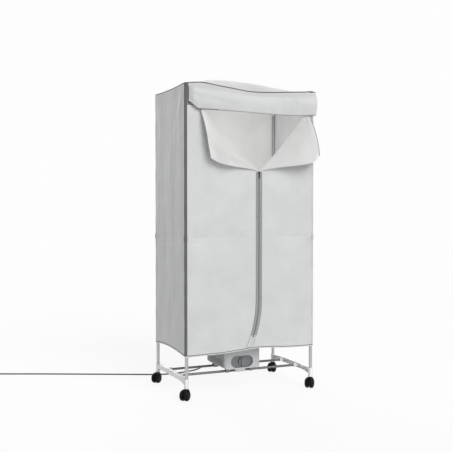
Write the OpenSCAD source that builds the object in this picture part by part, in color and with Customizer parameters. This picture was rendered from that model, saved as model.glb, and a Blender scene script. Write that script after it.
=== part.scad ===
// Portable drying cabinet: a frame of four jointed uprights on twin-wheel castors, a zipped cloth
// cover over it, and a fan heater that is clipped to the two base rails and blows up into the cover.
// Millimetres. The origin is on the floor, midway between the uprights. +X runs to the right along
// the front, +Y to the rear and +Z up. Every soft piece is a closed sheet as thick as its cloth.

/* [Cabinet] */
// Height of the top corners of the cover over the floor
cabinet_h = 1460; // [1300:5:1700]
// Distance between the left and right uprights, axis to axis
leg_span_x = 656; // [600:2:760]
// Distance between the front and rear uprights, axis to axis
leg_span_y = 408; // [380:2:480]
// Height of the joints between the lower and upper uprights
joint_z = 745; // [620:5:860]

/* [Tubes] */
// Outer diameter of the uprights
tube_d = 16; // [14:0.5:19]
// Wall of the uprights
tube_wall = 1; // [0.8:0.1:1.4]
// Outer diameter of the cross rails
rail_d = 12; // [10:0.5:13]
// Wall of the cross rails
rail_wall = 0.9; // [0.7:0.1:1.2]
// Distance between the front and rear rails, axis to axis
rail_span = 150; // [130:2:170]
// Height of the axes of the base rails
base_rail_z = 88; // [86:1:92]
// Drop from the cover's top corners to the axes of the hanging rails
hang_rail_drop = 48; // [46:1:70]

/* [End brackets] */
// Wall of the sleeves round the feet of the uprights
sleeve_wall = 2.5; // [2:0.1:3.5]
// Height of the upper rim of the foot sleeves
sleeve_top = 96; // [92:1:110]
// Depth that an upright sits in its foot sleeve
foot_seat = 22; // [14:1:22]
// Height of a bracket's bar at its middle
bar_h = 24; // [22:0.5:28]
// Width of a bracket's bar
bar_w = 14; // [11:0.5:14]
// Fall of the bar's upper edge from its middle to its ends
bar_bow = 6; // [2:0.5:8]
// Depth by which the bar's lower edge turns down into the sleeves
bar_foot = 16; // [8:1:17]
// Wall of the hollow bars
bracket_wall = 2.4; // [1.8:0.1:3]
// Stiffening ribs across each half of a bar
bar_ribs = 3; // [2:1:5]
// Length by which the rail sockets stand out of the bar
socket_l = 21; // [14:1:30]
// Wall of the rail sockets
socket_wall = 3; // [2.2:0.1:3.5]
// Step from a tube's skin out to the collars that join the tubes
collar_proud = 1; // [0.8:0.1:1.5]
// Height of a collar
collar_h = 8; // [5:0.5:14]
// Length of a plug inside a tube
spigot_l = 28; // [18:1:40]

/* [Castors] */
// Height of a castor from the floor to the foot sleeve
castor_h = 52; // [51.5:0.1:54]
// Diameter of a castor's wheels
wheel_d = 50; // [46:0.5:50]
// Width of one wheel
wheel_w = 18; // [14:0.5:20]
// Rounding from a wheel's tread to its domed outer face
wheel_edge = 11; // [8:0.5:12]
// Rounding of the tread's inner edge
wheel_inner_edge = 2; // [1:0.5:3]
// Distance that a wheel's axle trails behind its stem
castor_trail = 20; // [18:0.5:22]
// Side play between a wheel and its housing
castor_gap = 0.5; // [0.4:0.1:1]
// Thickness of the web between the two wheels
web_t = 6; // [5:0.5:8]
// Diameter of an axle
axle_d = 6; // [5:0.5:8]
// Diameter of a stem
stem_d = 11; // [9:0.5:12]
// Length of a stem inside the foot sleeve
stem_l = 17; // [12:0.5:18]
// Direction in which the castors trail at rest, turned from +X
castor_turn = 227; // [180:1:270]

/* [Heater] */
// Width of the heater's housing
heater_w = 190; // [180:1:220]
// Sideways place of the heater's middle
heater_x = -2; // [-30:1:30]
// Distance from the cabinet's middle forward to the fascia
heater_front = 120; // [116:1:130]
// Distance from the cabinet's middle back to the housing's rear wall
heater_rear = 118; // [112:1:126]
// Height of the housing's underside over the floor
heater_z = 103; // [101:0.5:106]
// Height of the housing
heater_h = 137; // [132:1:150]
// Height of the lower shell
lower_shell_h = 65; // [61:1:70]
// Wall of the housing
housing_wall = 2.4; // [1.8:0.1:3]
// Rounding of the upright corners
heater_corner_r = 16; // [10:0.5:20]
// Rounding where the underside turns up into the rear wall
heater_belly_r = 40; // [24:1:42]
// Depth of the fascia
fascia_t = 16; // [14:0.5:20]
// Length of the recess in the fascia
recess_l = 118; // [100:1:124]
// Height of the recess in the fascia
recess_h = 58; // [54:1:60]
// Depth of the recess
recess_depth = 10; // [8:0.5:12]
// Diameter of the timer knob
knob_d = 38; // [30:1:42]
// Depth of the timer knob
knob_h = 15; // [12:0.5:20]
// Diameter of the timer's shaft
shaft_d = 6; // [5:0.5:8]
// Intake slots in each side wall
slot_count = 16; // [10:1:20]
// Width of one intake slot
slot_w = 3.2; // [2:0.1:4]
// Diameter of the warm air outlet
outlet_d = 132; // [110:1:140]
// Diameter of the fan impeller
fan_d = 120; // [100:1:130]
// Blades of the fan impeller
blade_count = 7; // [5:1:9]
// Heating fins
fin_count = 14; // [10:1:18]

/* [Cloth cover] */
// Thickness of the cloth
cloth_t = 1; // [0.8:0.1:1.4]
// Height of the hem at the uprights
hem_h = 203; // [196:1:235]
// Rise of the front hem's right end over its left end, halved
hem_tilt = 4; // [0:0.5:8]
// Rise of the side hems between the uprights
side_arch = 14; // [0:1:20]
// Rise of the front hem beside the zip
front_arch = 12; // [0:1:14]
// Height of the hem's binding
hem_band = 8; // [6:0.5:12]
// Diameter of the piping along the top edges
piping_d = 5.2; // [4:0.2:7]
// Sag of the top's front and back edges
top_sag = 19.5; // [0:0.5:22]
// Rise of the top's front edge where it puffs up beside its left corner
top_puff = 10; // [0:1:12]
// Sag of the top's side edges
side_sag = 3; // [0:0.5:5]
// Drop from the cover's top corners to the free upper edges of the two front panels
panel_drop = 95; // [70:1:140]
// Height of the valance's lower edge over the free upper edges of the front panels
valance_lap = -24; // [-34:1:-15]
// How far the cover's floor lies over the hem's binding
floor_lift = 1.5; // [1:0.5:4]
// Reach of the left panel's hanging corner out from the zip
left_reach = 270; // [230:2:280]
// Height of the left hanging corner over the slider
left_rise = 61; // [30:1:90]
// Distance that the left hanging corner stands out in front
left_lean = 34; // [20:1:60]
// Reach of the right panel's hanging corner out from the zip
right_reach = 290; // [250:2:296]
// Height of the right hanging corner over the slider
right_rise = 83; // [40:1:110]
// Distance that the right hanging corner stands out in front
right_lean = 70; // [30:1:80]

/* [Zip] */
// Sideways place of the zip
zip_x = 38; // [20:1:60]
// Drop from the cover's top corners to the slider as the zip stands half open
slider_drop = 399; // [360:1:460]
// Height at which the straight stretch of the zip ends
zip_bend_z = 450; // [400:1:600]
// Sideways run of the zip from its bend to the hem
zip_run = 60; // [0:1:80]
// Gap between the two rows of teeth
zip_gap = 1.2; // [1:0.1:1.6]
// Width of one zip tape
tape_w = 13; // [9:0.5:16]
// Width of one row of teeth
teeth_w = 2.8; // [2:0.1:3.2]
// Height of the teeth over the tape
teeth_h = 1.4; // [1:0.1:1.8]
// Length of the zip's slider
slider_l = 13; // [10:0.5:18]
// Length of the zip's pull
pull_l = 26; // [18:1:40]

/* [Mains lead] */
// Diameter of the mains lead
cord_d = 7; // [6:0.5:8]
// Radius of the coil's outer turns
coil_r = 42; // [38:1:46]
// Distance from one turn of the coil to the next
coil_pitch = 8; // [7.6:0.1:9]
// Distance from one layer of the coil to the next
coil_layer = 7.7; // [7.5:0.1:8.5]
// Diameter of the plug's pins
pin_d = 4.8; // [4:0.1:4.8]
// Length of the plug's pins
pin_l = 19; // [17:0.5:19]
// Distance between the plug's pins
pin_span = 19; // [17:0.5:19]

/* [Hidden] */
$fn = 48;

// Clearances: round a tube in its seat, between pieces that only rest together, and round a pivot
fit_gap = 0.15;
seat_gap = 0.3;
run_gap = 0.05;
// Overrun of a cut past the face that it opens
cut = 1;

// Places of the frame
leg_x = leg_span_x / 2;
leg_y = leg_span_y / 2;
sleeve_d = tube_d + 2 * (fit_gap + sleeve_wall);
collar_d = tube_d + 2 * collar_proud;
spigot_d = tube_d - 2 * (tube_wall + fit_gap);
foot_z = sleeve_top - foot_seat;
base_bar_z = base_rail_z;
hang_z = cabinet_h - hang_rail_drop;
post_z = hang_z - bar_h / 2 - bar_foot - 2;
bar_inner_x = leg_x - bar_w / 2;
bar_outer_x = leg_x + bar_w / 2;
rail_end_x = bar_outer_x - bracket_wall - seat_gap;
socket_d = rail_d + 2 * (fit_gap + socket_wall);
boss_proud = 1;

// Faces of the cloth: it hangs just clear of the collars, and its corners follow them
cover_r = collar_d / 2 + seat_gap;
cover_out_r = cover_r + cloth_t;
side_x = leg_x + cover_out_r;
front_y = -leg_y - cover_out_r;
piping_r = piping_d / 2;
top_sheet_z = cabinet_h - piping_r;
cap_top_d = 2 * (cover_out_r - piping_d - seat_gap);
sag_middle_x = 20;
sag_left = 0.2 * leg_span_x;
sag_right = 0.33 * leg_span_x;
puff_x = -0.39 * leg_span_x;
puff_reach = 0.107 * leg_span_x;
hem_reach = 0.2 * leg_span_x;
panel_top = cabinet_h - panel_drop;
slider_z = cabinet_h - slider_drop;
floor_z = hem_h + hem_tilt + side_arch + hem_band + floor_lift;
zip_foot_z = hem_h + front_arch + hem_band + seat_gap + 0.5;
band_t = cloth_t + 1.2;

// Places of the heater
heater_top_z = heater_z + heater_h;
split_z = heater_z + lower_shell_h;
shell_front_y = -heater_front + fascia_t;
knob_x = heater_x - 1;
knob_z = heater_z + 35;
recess_x = heater_x - 5;
recess_floor_y = -heater_front + recess_depth;
fan_z = heater_z + 38;
element_z = split_z + 2;
gland_x = heater_x - 18;
gland_z = heater_z + heater_belly_r + 6;
clip_d = rail_d + 2 * (fit_gap + 2.6);

// Castors: [x, y] of each corner, front left, front right, rear left, rear right
corners = [[-leg_x, -leg_y], [leg_x, -leg_y], [-leg_x, leg_y], [leg_x, leg_y]];
wheel_r = wheel_d / 2;
castor_top = castor_h - seat_gap;
castor_w = web_t + 2 * (castor_gap + wheel_w);
wheel_room_r = wheel_r + 1;
hood_t = 2.4;
hood_w = castor_w - 1.3 * wheel_edge;
axle_depth = wheel_w - 1.6;

// Zip
zip_half = zip_gap / 2;
tape_t = 0.8;
tape_y = front_y - seat_gap;
teeth_y = tape_y - tape_t - teeth_h;
slider_t = 1.2;
slider_w = 2 * (zip_half + teeth_w) + 3;
pull_pin_d = 1.8;
pull_eye_d = 2.8;
pull_y = teeth_y - seat_gap - slider_t - pull_eye_d / 2 - 0.4;

// Cord
cord_r = cord_d / 2;
tie_t = 1;
coil_z = cord_r + tie_t + seat_gap;
coil_turn = 66.2;
coil_heading = coil_turn + 90;
coil_centre = [-1112, 704];
coil_start = coil_centre + coil_r * [cos(coil_turn), sin(coil_turn)];
plug_r = 18;
plug_axis_z = plug_r + 0.1;
tail_l = 40;

// Route of the lead from the gland to the coil, chosen by hand
gland_tip_y = heater_rear + 30;
route = [
  [gland_x, gland_tip_y, gland_z],
  [gland_x, gland_tip_y + 14, gland_z - 1],
  [gland_x + 6, 184, 131],
  [gland_x + 10, 202, 108],
  [gland_x + 12, 222, 82],
  [-10, 246, 56],
  [-15, 276, 42.5],
  [-23.5, 306, 36],
  [-32.5, 332, 29],
  [-42.5, 354, 18.5],
  [-56, 368, 9.5],
  [-76, 372, 5.2],
  [-99, 368, 4],
  [-122, 363, 3.6],
  [-160, 354, 3.6],
  [-212, 348, 3.6],
  [-270, 356, 3.6],
  [-340, 386, 3.6],
  [-420, 424, 3.6],
  [-520, 471, 3.6],
  [-630, 522, 3.6],
  [-740, 573, 3.6],
  [-850, 624, 3.6],
  [-950, 668, 3.6],
  [-1040, 707, 3.8],
  [-1075, 725, 4.4],
  [coil_start.x - cord_d * cos(coil_heading), coil_start.y - cord_d * sin(coil_heading), coil_z]
];
run_steps = 3;

function lerp(a, b, t) = a + (b - a) * t;
function unit(v) = v / norm(v);
function ease(t) = let (s = min(1, max(0, t))) s * s * (3 - 2 * s);
function clip(x, reach) = min(reach, max(-reach, x));
// Fall of the cover's top below its corners, at a place inside its outline
function top_drop(x, y) = let (a = clip(x, leg_x))
  top_sag * exp(-pow((a - sag_middle_x) / (a < sag_middle_x ? sag_left : sag_right), 2)) * ease((leg_x - a) / 50)
  + side_sag * max(0, 1 - pow(y / leg_y, 2))
  - top_puff * exp(-pow((a - puff_x) / puff_reach, 2)) * ease(-y / leg_y);
// Height of the lower edge of the cover, at a place on its outline
function hem_z(x, y) = let (a = clip(x, leg_x), front = ease(0.5 - 0.5 * clip(y, leg_y) / leg_y))
  hem_h + front * (hem_tilt * a / leg_x + front_arch * exp(-pow((a - zip_x) / hem_reach, 2)) * ease(-y / leg_y))
  + side_arch * max(0, 1 - pow(y / leg_y, 2));
// Sideways place of the zip at a height
function zip_at(z) = zip_x - zip_run * pow(max(0, zip_bend_z - z) / (zip_bend_z - hem_h), 2);

// ---------------------------------------------------------------- tools for shapes

// A profile in Y and Z, drawn from x0 to x1
module along_x(x0, x1) {
  translate([x0, 0, 0]) rotate([90, 0, 90]) linear_extrude(x1 - x0) children();
}

// A profile in X and Z, drawn from y0 to y1
module along_y(y0, y1) {
  translate([0, y1, 0]) rotate([90, 0, 0]) linear_extrude(y1 - y0) children();
}

module rod_x(d, x0, x1) {
  translate([x0, 0, 0]) rotate([0, 90, 0]) cylinder(d = d, h = x1 - x0);
}

module rod_y(d, y0, y1) {
  translate([0, y0, 0]) rotate([-90, 0, 0]) cylinder(d = d, h = y1 - y0);
}

module tube_z(d, wall, h) {
  difference() {
    cylinder(d = d, h = h);
    translate([0, 0, -cut]) cylinder(d = d - 2 * wall, h = h + 2 * cut);
  }
}

// A rectangle with round corners, centred, as a union of true squares and circles
module round_rect(w, h, r) {
  square([w - 2 * r, h], center = true);
  square([w, h - 2 * r], center = true);
  for (x = [-1, 1], y = [-1, 1]) translate([x * (w / 2 - r), y * (h / 2 - r)]) circle(r);
}

// A closed solid between two grids of points, the outer face and the inner face of a cloth.
// Rows rise and columns run to the right, seen from the outer face, or to the left if flipped.
module sheet(outer, inner, flipped = false) {
  rows = len(outer);
  cols = len(outer[0]);
  back = rows * cols;
  points = [for (grid = [outer, inner], row = grid, p = row) p];
  function at(i, j) = i * cols + j;
  faces = concat(
    [for (i = [0 : rows - 2], j = [0 : cols - 2], f = [
      [at(i, j), at(i + 1, j), at(i, j + 1)],
      [at(i, j + 1), at(i + 1, j), at(i + 1, j + 1)],
      [back + at(i, j), back + at(i, j + 1), back + at(i + 1, j)],
      [back + at(i, j + 1), back + at(i + 1, j + 1), back + at(i + 1, j)]
    ]) f],
    [for (j = [0 : cols - 2], f = [
      [at(0, j), at(0, j + 1), back + at(0, j + 1)],
      [at(0, j), back + at(0, j + 1), back + at(0, j)],
      [at(rows - 1, j + 1), at(rows - 1, j), back + at(rows - 1, j)],
      [at(rows - 1, j + 1), back + at(rows - 1, j), back + at(rows - 1, j + 1)]
    ]) f],
    [for (i = [0 : rows - 2], f = [
      [at(i + 1, 0), at(i, 0), back + at(i, 0)],
      [at(i + 1, 0), back + at(i, 0), back + at(i + 1, 0)],
      [at(i, cols - 1), at(i + 1, cols - 1), back + at(i + 1, cols - 1)],
      [at(i, cols - 1), back + at(i + 1, cols - 1), back + at(i, cols - 1)]
    ]) f]
  );
  polyhedron(points, flipped ? [for (f = faces) [f[0], f[2], f[1]]] : faces, convexity = 8);
}

// Stations round the cover's plan, anticlockwise from the front left: [x, y, outward angle]
function rim_side(from, to, angle, steps) = [
  for (i = [0 : steps - 1]) let (p = lerp(from, to, i / steps)) [p.x, p.y, angle]
];
function rim_corner(p, angle) = [for (i = [0 : 3]) [p.x, p.y, angle + i * 22.5]];
rim = concat(
  rim_side(corners[0], corners[1], -90, 24), rim_corner(corners[1], -90),
  rim_side(corners[1], corners[3], 0, 8), rim_corner(corners[3], 0),
  rim_side(corners[3], corners[2], 90, 24), rim_corner(corners[2], 90),
  rim_side(corners[2], corners[0], 180, 8), rim_corner(corners[0], 180)
);

// A closed loop round the cover's plan. The section's points are [outward, up], anticlockwise.
module rim_loop(section, low) {
  n = len(rim);
  m = len(section);
  points = [for (st = rim, s = section) [
    st.x + s[0] * cos(st[2]), st.y + s[0] * sin(st[2]), low ? hem_z(st.x, st.y) + s[1]
      : cabinet_h - top_drop(st.x, st.y) + s[1]
  ]];
  faces = [for (k = [0 : n - 1], s = [0 : m - 1])
    [k * m + s, k * m + (s + 1) % m, ((k + 1) % n) * m + (s + 1) % m, ((k + 1) % n) * m + s]];
  polyhedron(points, faces, convexity = 8);
}

// A round tube swept along points, with its first and last faces square to the given directions
module swept_tube(path, r, sides, first, last) {
  n = len(path);
  function tangent(i) = i == 0 ? first : i == n - 1 ? last : unit(path[i + 1] - path[i - 1]);
  points = [for (i = [0 : n - 1]) let (
      t = tangent(i), s = unit(cross(t, [0, 0, 1])), u = cross(s, t)
    ) for (k = [0 : sides - 1]) let (a = 360 * (k + 0.5) / sides) path[i] + r * (cos(a) * s + sin(a) * u)];
  faces = concat(
    [[for (k = [sides - 1 : -1 : 0]) k]],
    [[for (k = [0 : sides - 1]) (n - 1) * sides + k]],
    [for (i = [0 : n - 2], k = [0 : sides - 1], f = [
      [i * sides + k, (i + 1) * sides + (k + 1) % sides, (i + 1) * sides + k],
      [i * sides + k, i * sides + (k + 1) % sides, (i + 1) * sides + (k + 1) % sides]
    ]) f]
  );
  polyhedron(points, faces, convexity = 8);
}

// ---------------------------------------------------------------- frame

module upright(corner, z0, z1) {
  color("silver") translate([corner.x, corner.y, z0]) tube_z(tube_d, tube_wall, z1 - z0);
}

module lower_upright(corner) {
  upright(corner, foot_z + seat_gap, joint_z - collar_h / 2 - seat_gap);
}

module upper_upright(corner) {
  upright(corner, joint_z + collar_h / 2 + seat_gap, post_z - seat_gap);
}

// Moulded plugs with a collar, half in the lower and half in the upper tube
module upright_couplers() {
  color("dimgray") for (p = corners) translate([p.x, p.y, joint_z]) {
    translate([0, 0, -collar_h / 2]) cylinder(d = collar_d, h = collar_h);
    translate([0, 0, -spigot_l]) cylinder(d = spigot_d, h = 2 * spigot_l);
  }
}

module rail(y, z) {
  color("dimgray") translate([0, y, z]) difference() {
    rod_x(rail_d, -rail_end_x, rail_end_x);
    rod_x(rail_d - 2 * rail_wall, -rail_end_x - cut, rail_end_x + cut);
  }
}

// Side view of a bar: its upper edge is a flat arch, and its lower edge turns down at both ends
module bar_outline(inset, reach) {
  steps = 16;
  ys = [for (i = [0 : steps]) lerp(-reach, reach, i / steps)];
  upper = [for (y = ys) [y, bar_h / 2 - bar_bow * pow(y / leg_y, 2) - inset]];
  lower = [for (y = ys) [-y, -bar_h / 2 - bar_foot * pow(y / leg_y, 8) + inset]];
  polygon(concat([for (i = [steps : -1 : 0]) upper[i]], [for (i = [steps : -1 : 0]) lower[i]]));
}

// The right-hand bar with its two rail sockets, hollow and ribbed towards the cabinet's middle
module bracket_bar() {
  pocket = leg_y - sleeve_d / 2 - 4;
  rib_pitch = pocket / (bar_ribs + 1);
  difference() {
    union() {
      difference() {
        along_x(bar_inner_x, bar_outer_x) bar_outline(0, leg_y);
        along_x(bar_inner_x - cut, bar_outer_x - bracket_wall) bar_outline(bracket_wall, pocket);
      }
      intersection() {
        along_x(bar_inner_x + 1, bar_outer_x - cut) bar_outline(cut, leg_y);
        for (i = [-bar_ribs : bar_ribs]) translate([leg_x, i * rib_pitch, 0])
          cube([bar_w, 2, 3 * bar_h], center = true);
      }
      for (s = [-1, 1]) translate([0, s * rail_span / 2, 0])
        rod_x(socket_d, bar_inner_x - socket_l, bar_outer_x - cut);
    }
    for (s = [-1, 1]) translate([0, s * rail_span / 2, 0])
      rod_x(rail_d + 2 * fit_gap, bar_inner_x - socket_l - cut, bar_outer_x - bracket_wall);
  }
}

module base_bracket() {
  color("whitesmoke") difference() {
    union() {
      translate([0, 0, base_bar_z]) bracket_bar();
      translate([0, 0, base_bar_z]) for (s = [-1, 1]) translate([0, s * rail_span / 2, 0])
        rod_x(socket_d - 4, bar_outer_x - cut, bar_outer_x + boss_proud);
      for (s = [-1, 1]) translate([leg_x, s * leg_y, castor_h])
        cylinder(d = sleeve_d, h = sleeve_top - castor_h);
    }
    for (s = [-1, 1]) translate([leg_x, s * leg_y, 0]) {
      translate([0, 0, foot_z]) cylinder(d = tube_d + 2 * fit_gap, h = sleeve_top - foot_z + cut);
      translate([0, 0, castor_h - cut]) cylinder(d = stem_d + 2 * run_gap, h = stem_l + cut + seat_gap);
    }
  }
}

// The top bracket plugs into the uprights, and its capped posts carry the corners of the cover
module top_bracket() {
  cone_h = (collar_d - cap_top_d) / 2;
  cap_z = top_sheet_z - cloth_t - 2 * seat_gap;
  color("whitesmoke") union() {
    translate([0, 0, hang_z]) bracket_bar();
    for (s = [-1, 1]) translate([leg_x, s * leg_y, 0]) {
      translate([0, 0, post_z - spigot_l]) cylinder(d = spigot_d, h = spigot_l + cut);
      translate([0, 0, post_z]) cylinder(d = collar_d, h = cap_z - cone_h - post_z);
      translate([0, 0, cap_z - cone_h]) cylinder(d1 = collar_d, d2 = cap_top_d, h = cone_h);
    }
  }
}

// ---------------------------------------------------------------- castors

module at_castor(corner) {
  translate([corner.x, corner.y, 0]) rotate([0, 0, castor_turn]) children();
}

// Web between the wheels, hood over them on the stem's side, neck and steel stem
module castor_housing(corner) {
  color("#1c1c1e") at_castor(corner) {
    difference() {
      union() {
        intersection() {
          translate([castor_trail, 0, wheel_r]) rod_y(2 * (wheel_room_r + hood_t), -hood_w / 2, hood_w / 2);
          translate([-castor_w, -castor_w, wheel_r - 8])
            cube([castor_w + castor_trail - 6, 2 * castor_w, castor_top - wheel_r + 8]);
        }
        translate([castor_trail, 0, wheel_r]) rod_y(wheel_d - 14, -web_t / 2, web_t / 2);
        translate([0, 0, wheel_r + 4]) cylinder(d = stem_d + 7, h = castor_top - wheel_r - 4);
      }
      for (s = [-1, 1]) translate([castor_trail, s * (web_t + castor_w) / 2, wheel_r])
        rod_y(2 * wheel_room_r, -castor_w / 2, castor_w / 2);
      translate([castor_trail, 0, wheel_r]) rod_y(axle_d + 2 * run_gap, -castor_w, castor_w);
    }
    translate([0, 0, castor_top - 2]) cylinder(d = stem_d, h = stem_l + 2);
  }
}

module castor_axle(corner) {
  reach = web_t / 2 + castor_gap + axle_depth - 0.5;
  color("lightgray") at_castor(corner) translate([castor_trail, 0, wheel_r]) rod_y(axle_d, -reach, reach);
}

// A wheel is a revolved tread with a dished outer face and a blind bore for the axle
module castor_wheel(corner, side) {
  color("#1c1c1e") at_castor(corner)
    translate([castor_trail, side * (web_t / 2 + castor_gap), wheel_r]) rotate([-90 * side, 0, 0])
      rotate_extrude($fn = 64) difference() {
        union() {
          translate([0, wheel_inner_edge]) square([wheel_r, wheel_w - wheel_inner_edge - wheel_edge]);
          square([wheel_r - wheel_edge, wheel_w]);
          square([wheel_r - wheel_inner_edge, wheel_w - wheel_edge]);
          translate([wheel_r - wheel_inner_edge, wheel_inner_edge]) circle(wheel_inner_edge);
          translate([wheel_r - wheel_edge, wheel_w - wheel_edge]) intersection() {
            circle(wheel_edge);
            translate([-cut, -cut]) square(wheel_edge + 2 * cut);
          }
        }
        translate([-wheel_r, -wheel_w]) square([wheel_r, 3 * wheel_w]);
        translate([-cut, -cut]) square([axle_d / 2 + run_gap + cut, axle_depth + cut]);
        translate([axle_d / 2 + 4, wheel_w - 1.4]) square([wheel_r - wheel_edge - axle_d / 2 - 7, 3]);
      }
}

// ---------------------------------------------------------------- heater

// Plan of the housing, from the fascia's face to the rear wall
module heater_plan(inset) {
  depth = heater_front + heater_rear;
  translate([heater_x, (heater_rear - heater_front) / 2])
    round_rect(heater_w - 2 * inset, depth - 2 * inset, heater_corner_r - inset);
}

// Side view of the housing: the underside curves up into the rear wall, and the upper edges are round.
// The edges that run from front to rear are rounded by a third view, in heater_block.
module heater_side(inset) {
  r = heater_belly_r - inset;
  top_r = heater_corner_r - inset;
  y0 = -heater_front + inset;
  y1 = heater_rear - inset;
  z0 = heater_z + inset;
  z1 = heater_top_z - inset;
  translate([y0, z0]) square([y1 - y0 - r, z1 - z0 - top_r]);
  translate([y0, z0 + r]) square([y1 - y0, z1 - z0 - r - top_r]);
  translate([y1 - r, z0 + r]) circle(r);
  translate([y0 + top_r, z0 + r]) square([y1 - y0 - 2 * top_r, z1 - z0 - r]);
  for (y = [y0 + top_r, y1 - top_r]) translate([y, z1 - top_r]) circle(top_r);
}

module heater_block(inset) {
  intersection() {
    linear_extrude(heater_top_z + cut) heater_plan(inset);
    along_x(heater_x - heater_w, heater_x + heater_w) heater_side(inset);
    along_y(-heater_front - cut, heater_rear + cut) translate([heater_x, heater_z + heater_h / 2])
      round_rect(heater_w - 2 * inset, heater_h - 2 * inset, heater_corner_r - inset);
  }
}

// The part of the housing between two heights, behind the fascia
module heater_slab(z0, z1) {
  translate([heater_x - heater_w, shell_front_y, z0])
    cube([2 * heater_w, heater_rear + heater_front, z1 - z0]);
}

// Two jaws that snap over a base rail from above
module rail_clip(x, y, w) {
  translate([0, y, base_rail_z]) difference() {
    union() {
      rod_x(clip_d, x - w / 2, x + w / 2);
      translate([x - w / 2, -clip_d / 2, 0]) cube([w, clip_d, heater_z - base_rail_z + 1]);
    }
    rod_x(rail_d + 2 * fit_gap, x - w, x + w);
    translate([x - w, -rail_d / 3, -clip_d]) cube([2 * w, 2 * rail_d / 3, clip_d]);
  }
}

module heater_lower_shell() {
  slot_pitch = (heater_rear - heater_belly_r - shell_front_y - heater_corner_r) / slot_count;
  slot_low = heater_z + heater_corner_r;
  pedestal_d = 30;
  color("#77787b") difference() {
    union() {
      difference() {
        intersection() {
          heater_block(0);
          heater_slab(heater_z - cut, split_z);
        }
        intersection() {
          heater_block(housing_wall);
          heater_slab(heater_z - cut, split_z + cut);
        }
        translate([heater_x, 0, heater_z - cut]) for (i = [-4 : 4])
          translate([i * 3 * slot_w - slot_w / 2, pedestal_d / 2 + 8, 0]) cube([slot_w, 44, 3 * cut + housing_wall]);
      }
      translate([heater_x, 0, heater_z + 1]) cylinder(d = pedestal_d, h = 8);
      for (s = [-1, 1]) {
        rail_clip(heater_x + s * heater_w / 3, rail_span / 2, 18);
        rail_clip(heater_x + s * heater_w / 3, -rail_span / 2, 18);
        translate([heater_x + s * (heater_w / 2 - 6) - 5, -12, split_z - 16]) cube([10, 24, 12]);
      }
    }
    for (i = [0 : slot_count - 1])
      translate([heater_x - heater_w, shell_front_y + heater_corner_r + (i + 0.5) * slot_pitch - slot_w / 2,
        slot_low]) for (s = [0, 1]) translate([s * (1.5 * heater_w + 12), 0, 0])
          cube([heater_w / 2 + housing_wall + 1, slot_w, split_z - 20 - slot_low]);
    translate([gland_x, 0, gland_z]) rod_y(cord_d + 5, heater_rear - 3 * housing_wall, heater_rear + cut);
  }
}

module heater_upper_shell() {
  color("#8a8b8d") difference() {
    intersection() {
      heater_block(0);
      heater_slab(split_z + seat_gap, heater_top_z + cut);
    }
    intersection() {
      heater_block(housing_wall);
      heater_slab(split_z - cut, heater_top_z + cut);
    }
    translate([heater_x, 0, heater_top_z - 3 * housing_wall]) cylinder(d = outlet_d, h = 4 * housing_wall, $fn = 96);
  }
}

// Round grille of rings and spokes, its rim seated in the outlet
module outlet_grille() {
  ring_pitch = 12;
  z = heater_top_z - housing_wall;
  rim_d = outlet_d - 2 * seat_gap;
  color("#5c5d60") translate([heater_x, 0, z]) {
    difference() {
      cylinder(d = rim_d, h = housing_wall + 2, $fn = 96);
      translate([0, 0, -cut]) cylinder(d = rim_d - 5, h = housing_wall + 2 + 2 * cut, $fn = 96);
    }
    for (k = [1 : floor((rim_d / 2 - 9) / ring_pitch)]) difference() {
      cylinder(r = k * ring_pitch + 1, h = 2);
      translate([0, 0, -cut]) cylinder(r = k * ring_pitch - 1, h = 2 + 2 * cut);
    }
    cylinder(r = 6, h = 2);
    for (a = [0 : 45 : 315]) rotate([0, 0, a]) translate([4, -1, 0]) cube([rim_d / 2 - 5.5, 2, 2]);
  }
}

module stadium(l, h) {
  square([l - h, h], center = true);
  for (s = [-1, 1]) translate([s * (l - h) / 2, 0]) circle(d = h);
}

// Front moulding with the recess round the knob, a seam groove and the lug over the front rail
module heater_fascia() {
  wall = housing_wall + 0.6;
  lug_w = 52;
  lug_x = heater_x - 13;
  shaft_bore = shaft_d + 2 * run_gap;
  color("gainsboro") difference() {
    union() {
      difference() {
        intersection() {
          heater_block(0);
          translate([heater_x - heater_w, -heater_front - cut, 0])
            cube([2 * heater_w, fascia_t + cut - seat_gap, heater_top_z + cut]);
        }
        intersection() {
          heater_block(wall);
          translate([heater_x - heater_w, -heater_front - cut, 0]) cube([2 * heater_w, fascia_t + 2 * cut, heater_top_z]);
        }
      }
      translate([recess_x, 0, knob_z]) along_y(-heater_front + 0.5, recess_floor_y + 2.5)
        stadium(recess_l + 5, recess_h + 5);
      // the lug runs back under the fascia and ends just in front of the rail
      along_x(lug_x - lug_w / 2, lug_x + lug_w / 2) polygon([
        [-heater_front + 0.6, heater_z + 3], [-heater_front + 2, heater_z - 11],
        [-heater_front + 4, heater_z - 14], [-heater_front + 7, heater_z - 14], [-heater_front + 7, heater_z + 3]
      ]);
    }
    translate([recess_x, 0, knob_z]) along_y(-heater_front - cut, recess_floor_y) stadium(recess_l, recess_h);
    translate([knob_x, 0, knob_z]) rod_y(shaft_bore, recess_floor_y - cut, recess_floor_y + 3 * cut + 2.5);
    translate([heater_x + heater_w / 2 - 28, -heater_front - cut, heater_z - cut])
      cube([1.4, 1.8, heater_h + 2 * cut]);
  }
}

// Knob with a grip bar across it, a pointer notch and its shaft
module timer_knob() {
  face_y = recess_floor_y - 0.8;
  color("#9b9c9e") translate([knob_x, 0, knob_z]) difference() {
    union() {
      rod_y(knob_d, face_y - knob_h * 0.45, face_y);
      intersection() {
        rod_y(knob_d - 4, face_y - knob_h, face_y);
        translate([-knob_d / 6, face_y - knob_h, -knob_d]) cube([knob_d / 3, knob_h, 2 * knob_d]);
      }
      rod_y(shaft_d, face_y - 1, recess_floor_y + 14);
    }
    translate([-0.8, face_y - knob_h - cut, knob_d / 4]) cube([1.6, cut + 1.2, knob_d / 4]);
  }
}

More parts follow.
